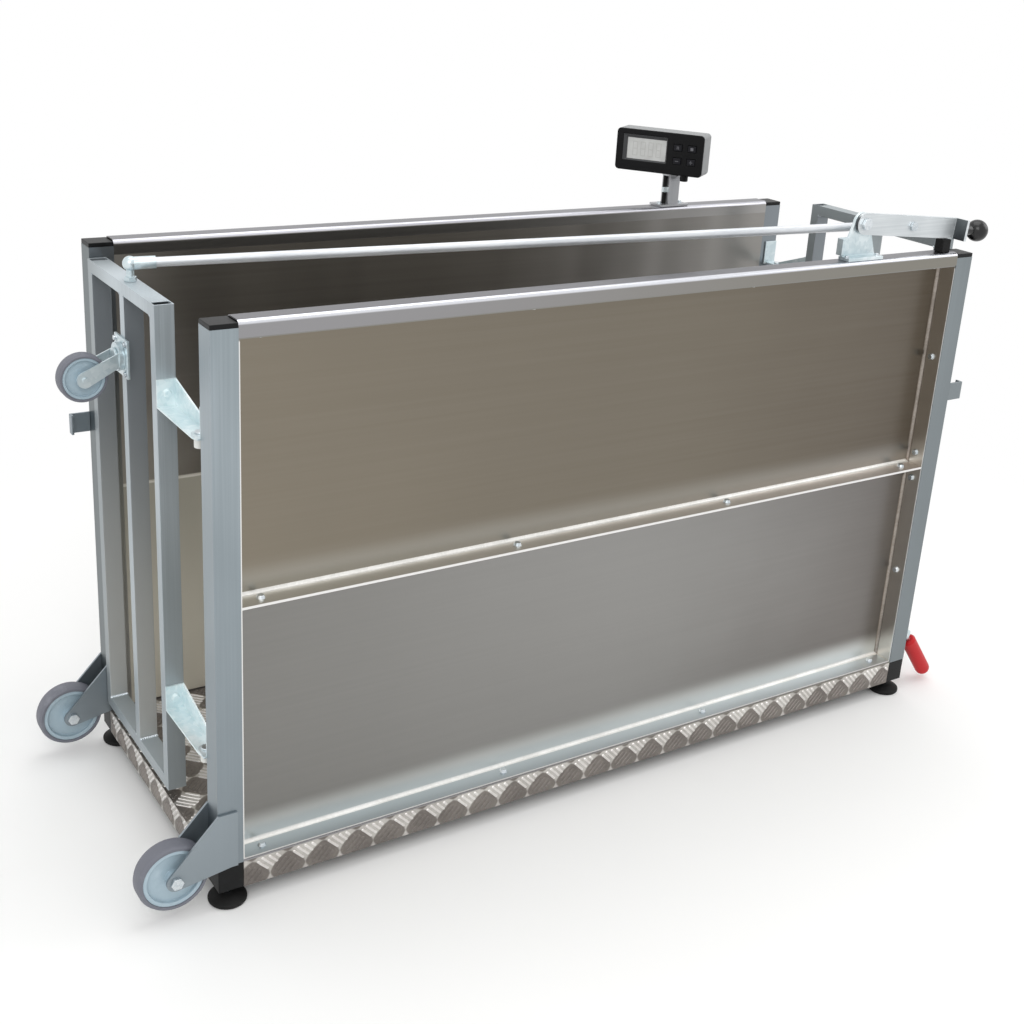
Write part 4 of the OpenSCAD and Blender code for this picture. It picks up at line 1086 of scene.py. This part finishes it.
# %% Clip
STRAP, EAR, EAR_LIFT, ARCH_STEPS = 0.0006, 0.0105, 0.0007, 12
LEVELS = (-0.005, -0.0045, 0.0045, 0.005)
cable_low, cable_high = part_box("indicator_cable")
middle = (cable_low + cable_high) / 2
radius = (cable_high.y - cable_low.y) / 2 + STRAP
ear_x = middle.x + radius - EAR_LIFT
turns = [math.pi * i / ARCH_STEPS for i in range(1, ARCH_STEPS)]
profile = [(-EAR, ear_x), (-radius, ear_x)]
profile += [(-radius * math.cos(t), middle.x - radius * math.sin(t)) for t in turns]
profile += [(radius, ear_x), (EAR, ear_x)]
shape = Shape()
rows = [[Vector((x, middle.y - y, middle.z + z)) for y, x in profile] for z in LEVELS]
shape.rings(rows, closed=False, cap=False)
clip = piece("cable_clip", shape, zinc_plate, "crate")
thick = clip.modifiers.new("thick", "SOLIDIFY")
thick.thickness, thick.offset = STRAP, 0
print("clip at height", round(middle.z, 3))

# %% [markdown]
# ## Studio floor
# A pale floor carries the crate, as in a product picture. Near the crate it is real paint,
# which keeps a soft shadow; further out it fades into plain white. Light Path lets the
# camera, and anything shiny, see that white without putting more light on the crate.

# %% Floor
WHITE = (1, 1, 1, 1)
FLOOR_REACH, FADE = 20, (0.75, 2.1)


def sees_white(wire):
    """1 for rays from the camera, from shiny faces and through clear ones."""
    kinds = ("Is Camera Ray", "Is Glossy Ray", "Is Transmission Ray")
    seen, shiny, through = (wire.node("ShaderNodeLightPath", out=kind) for kind in kinds)
    return (seen + shiny + through).band(0.0, 1.0)


ground_mesh = bpy.data.meshes.new("floor")
ways = ((-1, -1), (1, -1), (1, 1), (-1, 1))
ground_mesh.from_pydata([(x * FLOOR_REACH, y * FLOOR_REACH, 0) for x, y in ways], [], [(0, 1, 2, 3)])
floor = bpy.data.objects.new("floor", ground_mesh)
scene.collection.objects.link(floor)
place, wire = new_finish("floor paint")
speck = noise(place, (3, 3, 3), detail=2.0)
pale = speck.tint(rgb("fafaf9"), rgb("fcfcfb"))
paint = wire(Base_Color=pale, Roughness=0.95, Specular_IOR_Level=0.05)
floor.data.materials.append(paint)
away = place.node("ShaderNodeVectorMath", {"operation": "LENGTH"}, {0: place}, out="Value").band(*FADE)
white = place.node("ShaderNodeEmission", {}, {"Color": WHITE, "Strength": 1.0})
tree = paint.node_tree
shader = Wire(tree, tree.nodes["Principled BSDF"].outputs[0])
mixed = place.node("ShaderNodeMixShader", {}, {0: sees_white(place) * away, 1: shader, 2: white})
tree.links.new(mixed.socket, tree.nodes["Material Output"].inputs[0])
print("floor fades from", FADE[0], "to", FADE[1], "m")

# %% [markdown]
# ## Surround
# The world round the crate is white too. A picture of a room could stand in for it, but plain
# white leaves the metal its own tones. It lights the crate from all sides at four fifths of
# full strength, and shows itself to the camera and in the metal as plain white.

# %% Surround
AMBIENT = 0.8
world = bpy.data.worlds.new("surround")
scene.world = world
world.use_nodes = True
background = world.node_tree.nodes["Background"]
background.inputs["Color"].default_value = WHITE
strength = AMBIENT + (1.0 - AMBIENT) * sees_white(Wire(world.node_tree))
world.node_tree.links.new(strength.socket, background.inputs["Strength"])
print("surround lights at", AMBIENT)

# %% [markdown]
# ## Lamps
# Three soft square lamps bring out the shape: a key lamp from the near exit side, one
# overhead and a weak one from the entry. A sun lamp would cast hard shadows; large lamps cast
# soft ones, as a cloudy sky does.

# %% Lamps
AIM = Vector((0, 0, 0.5))
LAMPS = {
    "key": ((-2.2, -3.2, 3.6), 2.4, 50),
    "top": ((0.4, 0.2, 4.2), 3.0, 45),
    "side": ((3.4, -1.2, 2.4), 2.0, 20),
}
for name, (place_at, size, power) in LAMPS.items():
    lamp = bpy.data.lights.new(name, "AREA")
    lamp.shape, lamp.size, lamp.energy = "SQUARE", size, power
    stand = bpy.data.objects.new(name, lamp)
    stand.location = place_at
    stand.rotation_euler = (AIM - Vector(place_at)).to_track_quat("-Z", "Y").to_euler()
    scene.collection.objects.link(stand)
scene.view_settings.view_transform = "Standard"

# %% [markdown]
# ## The end
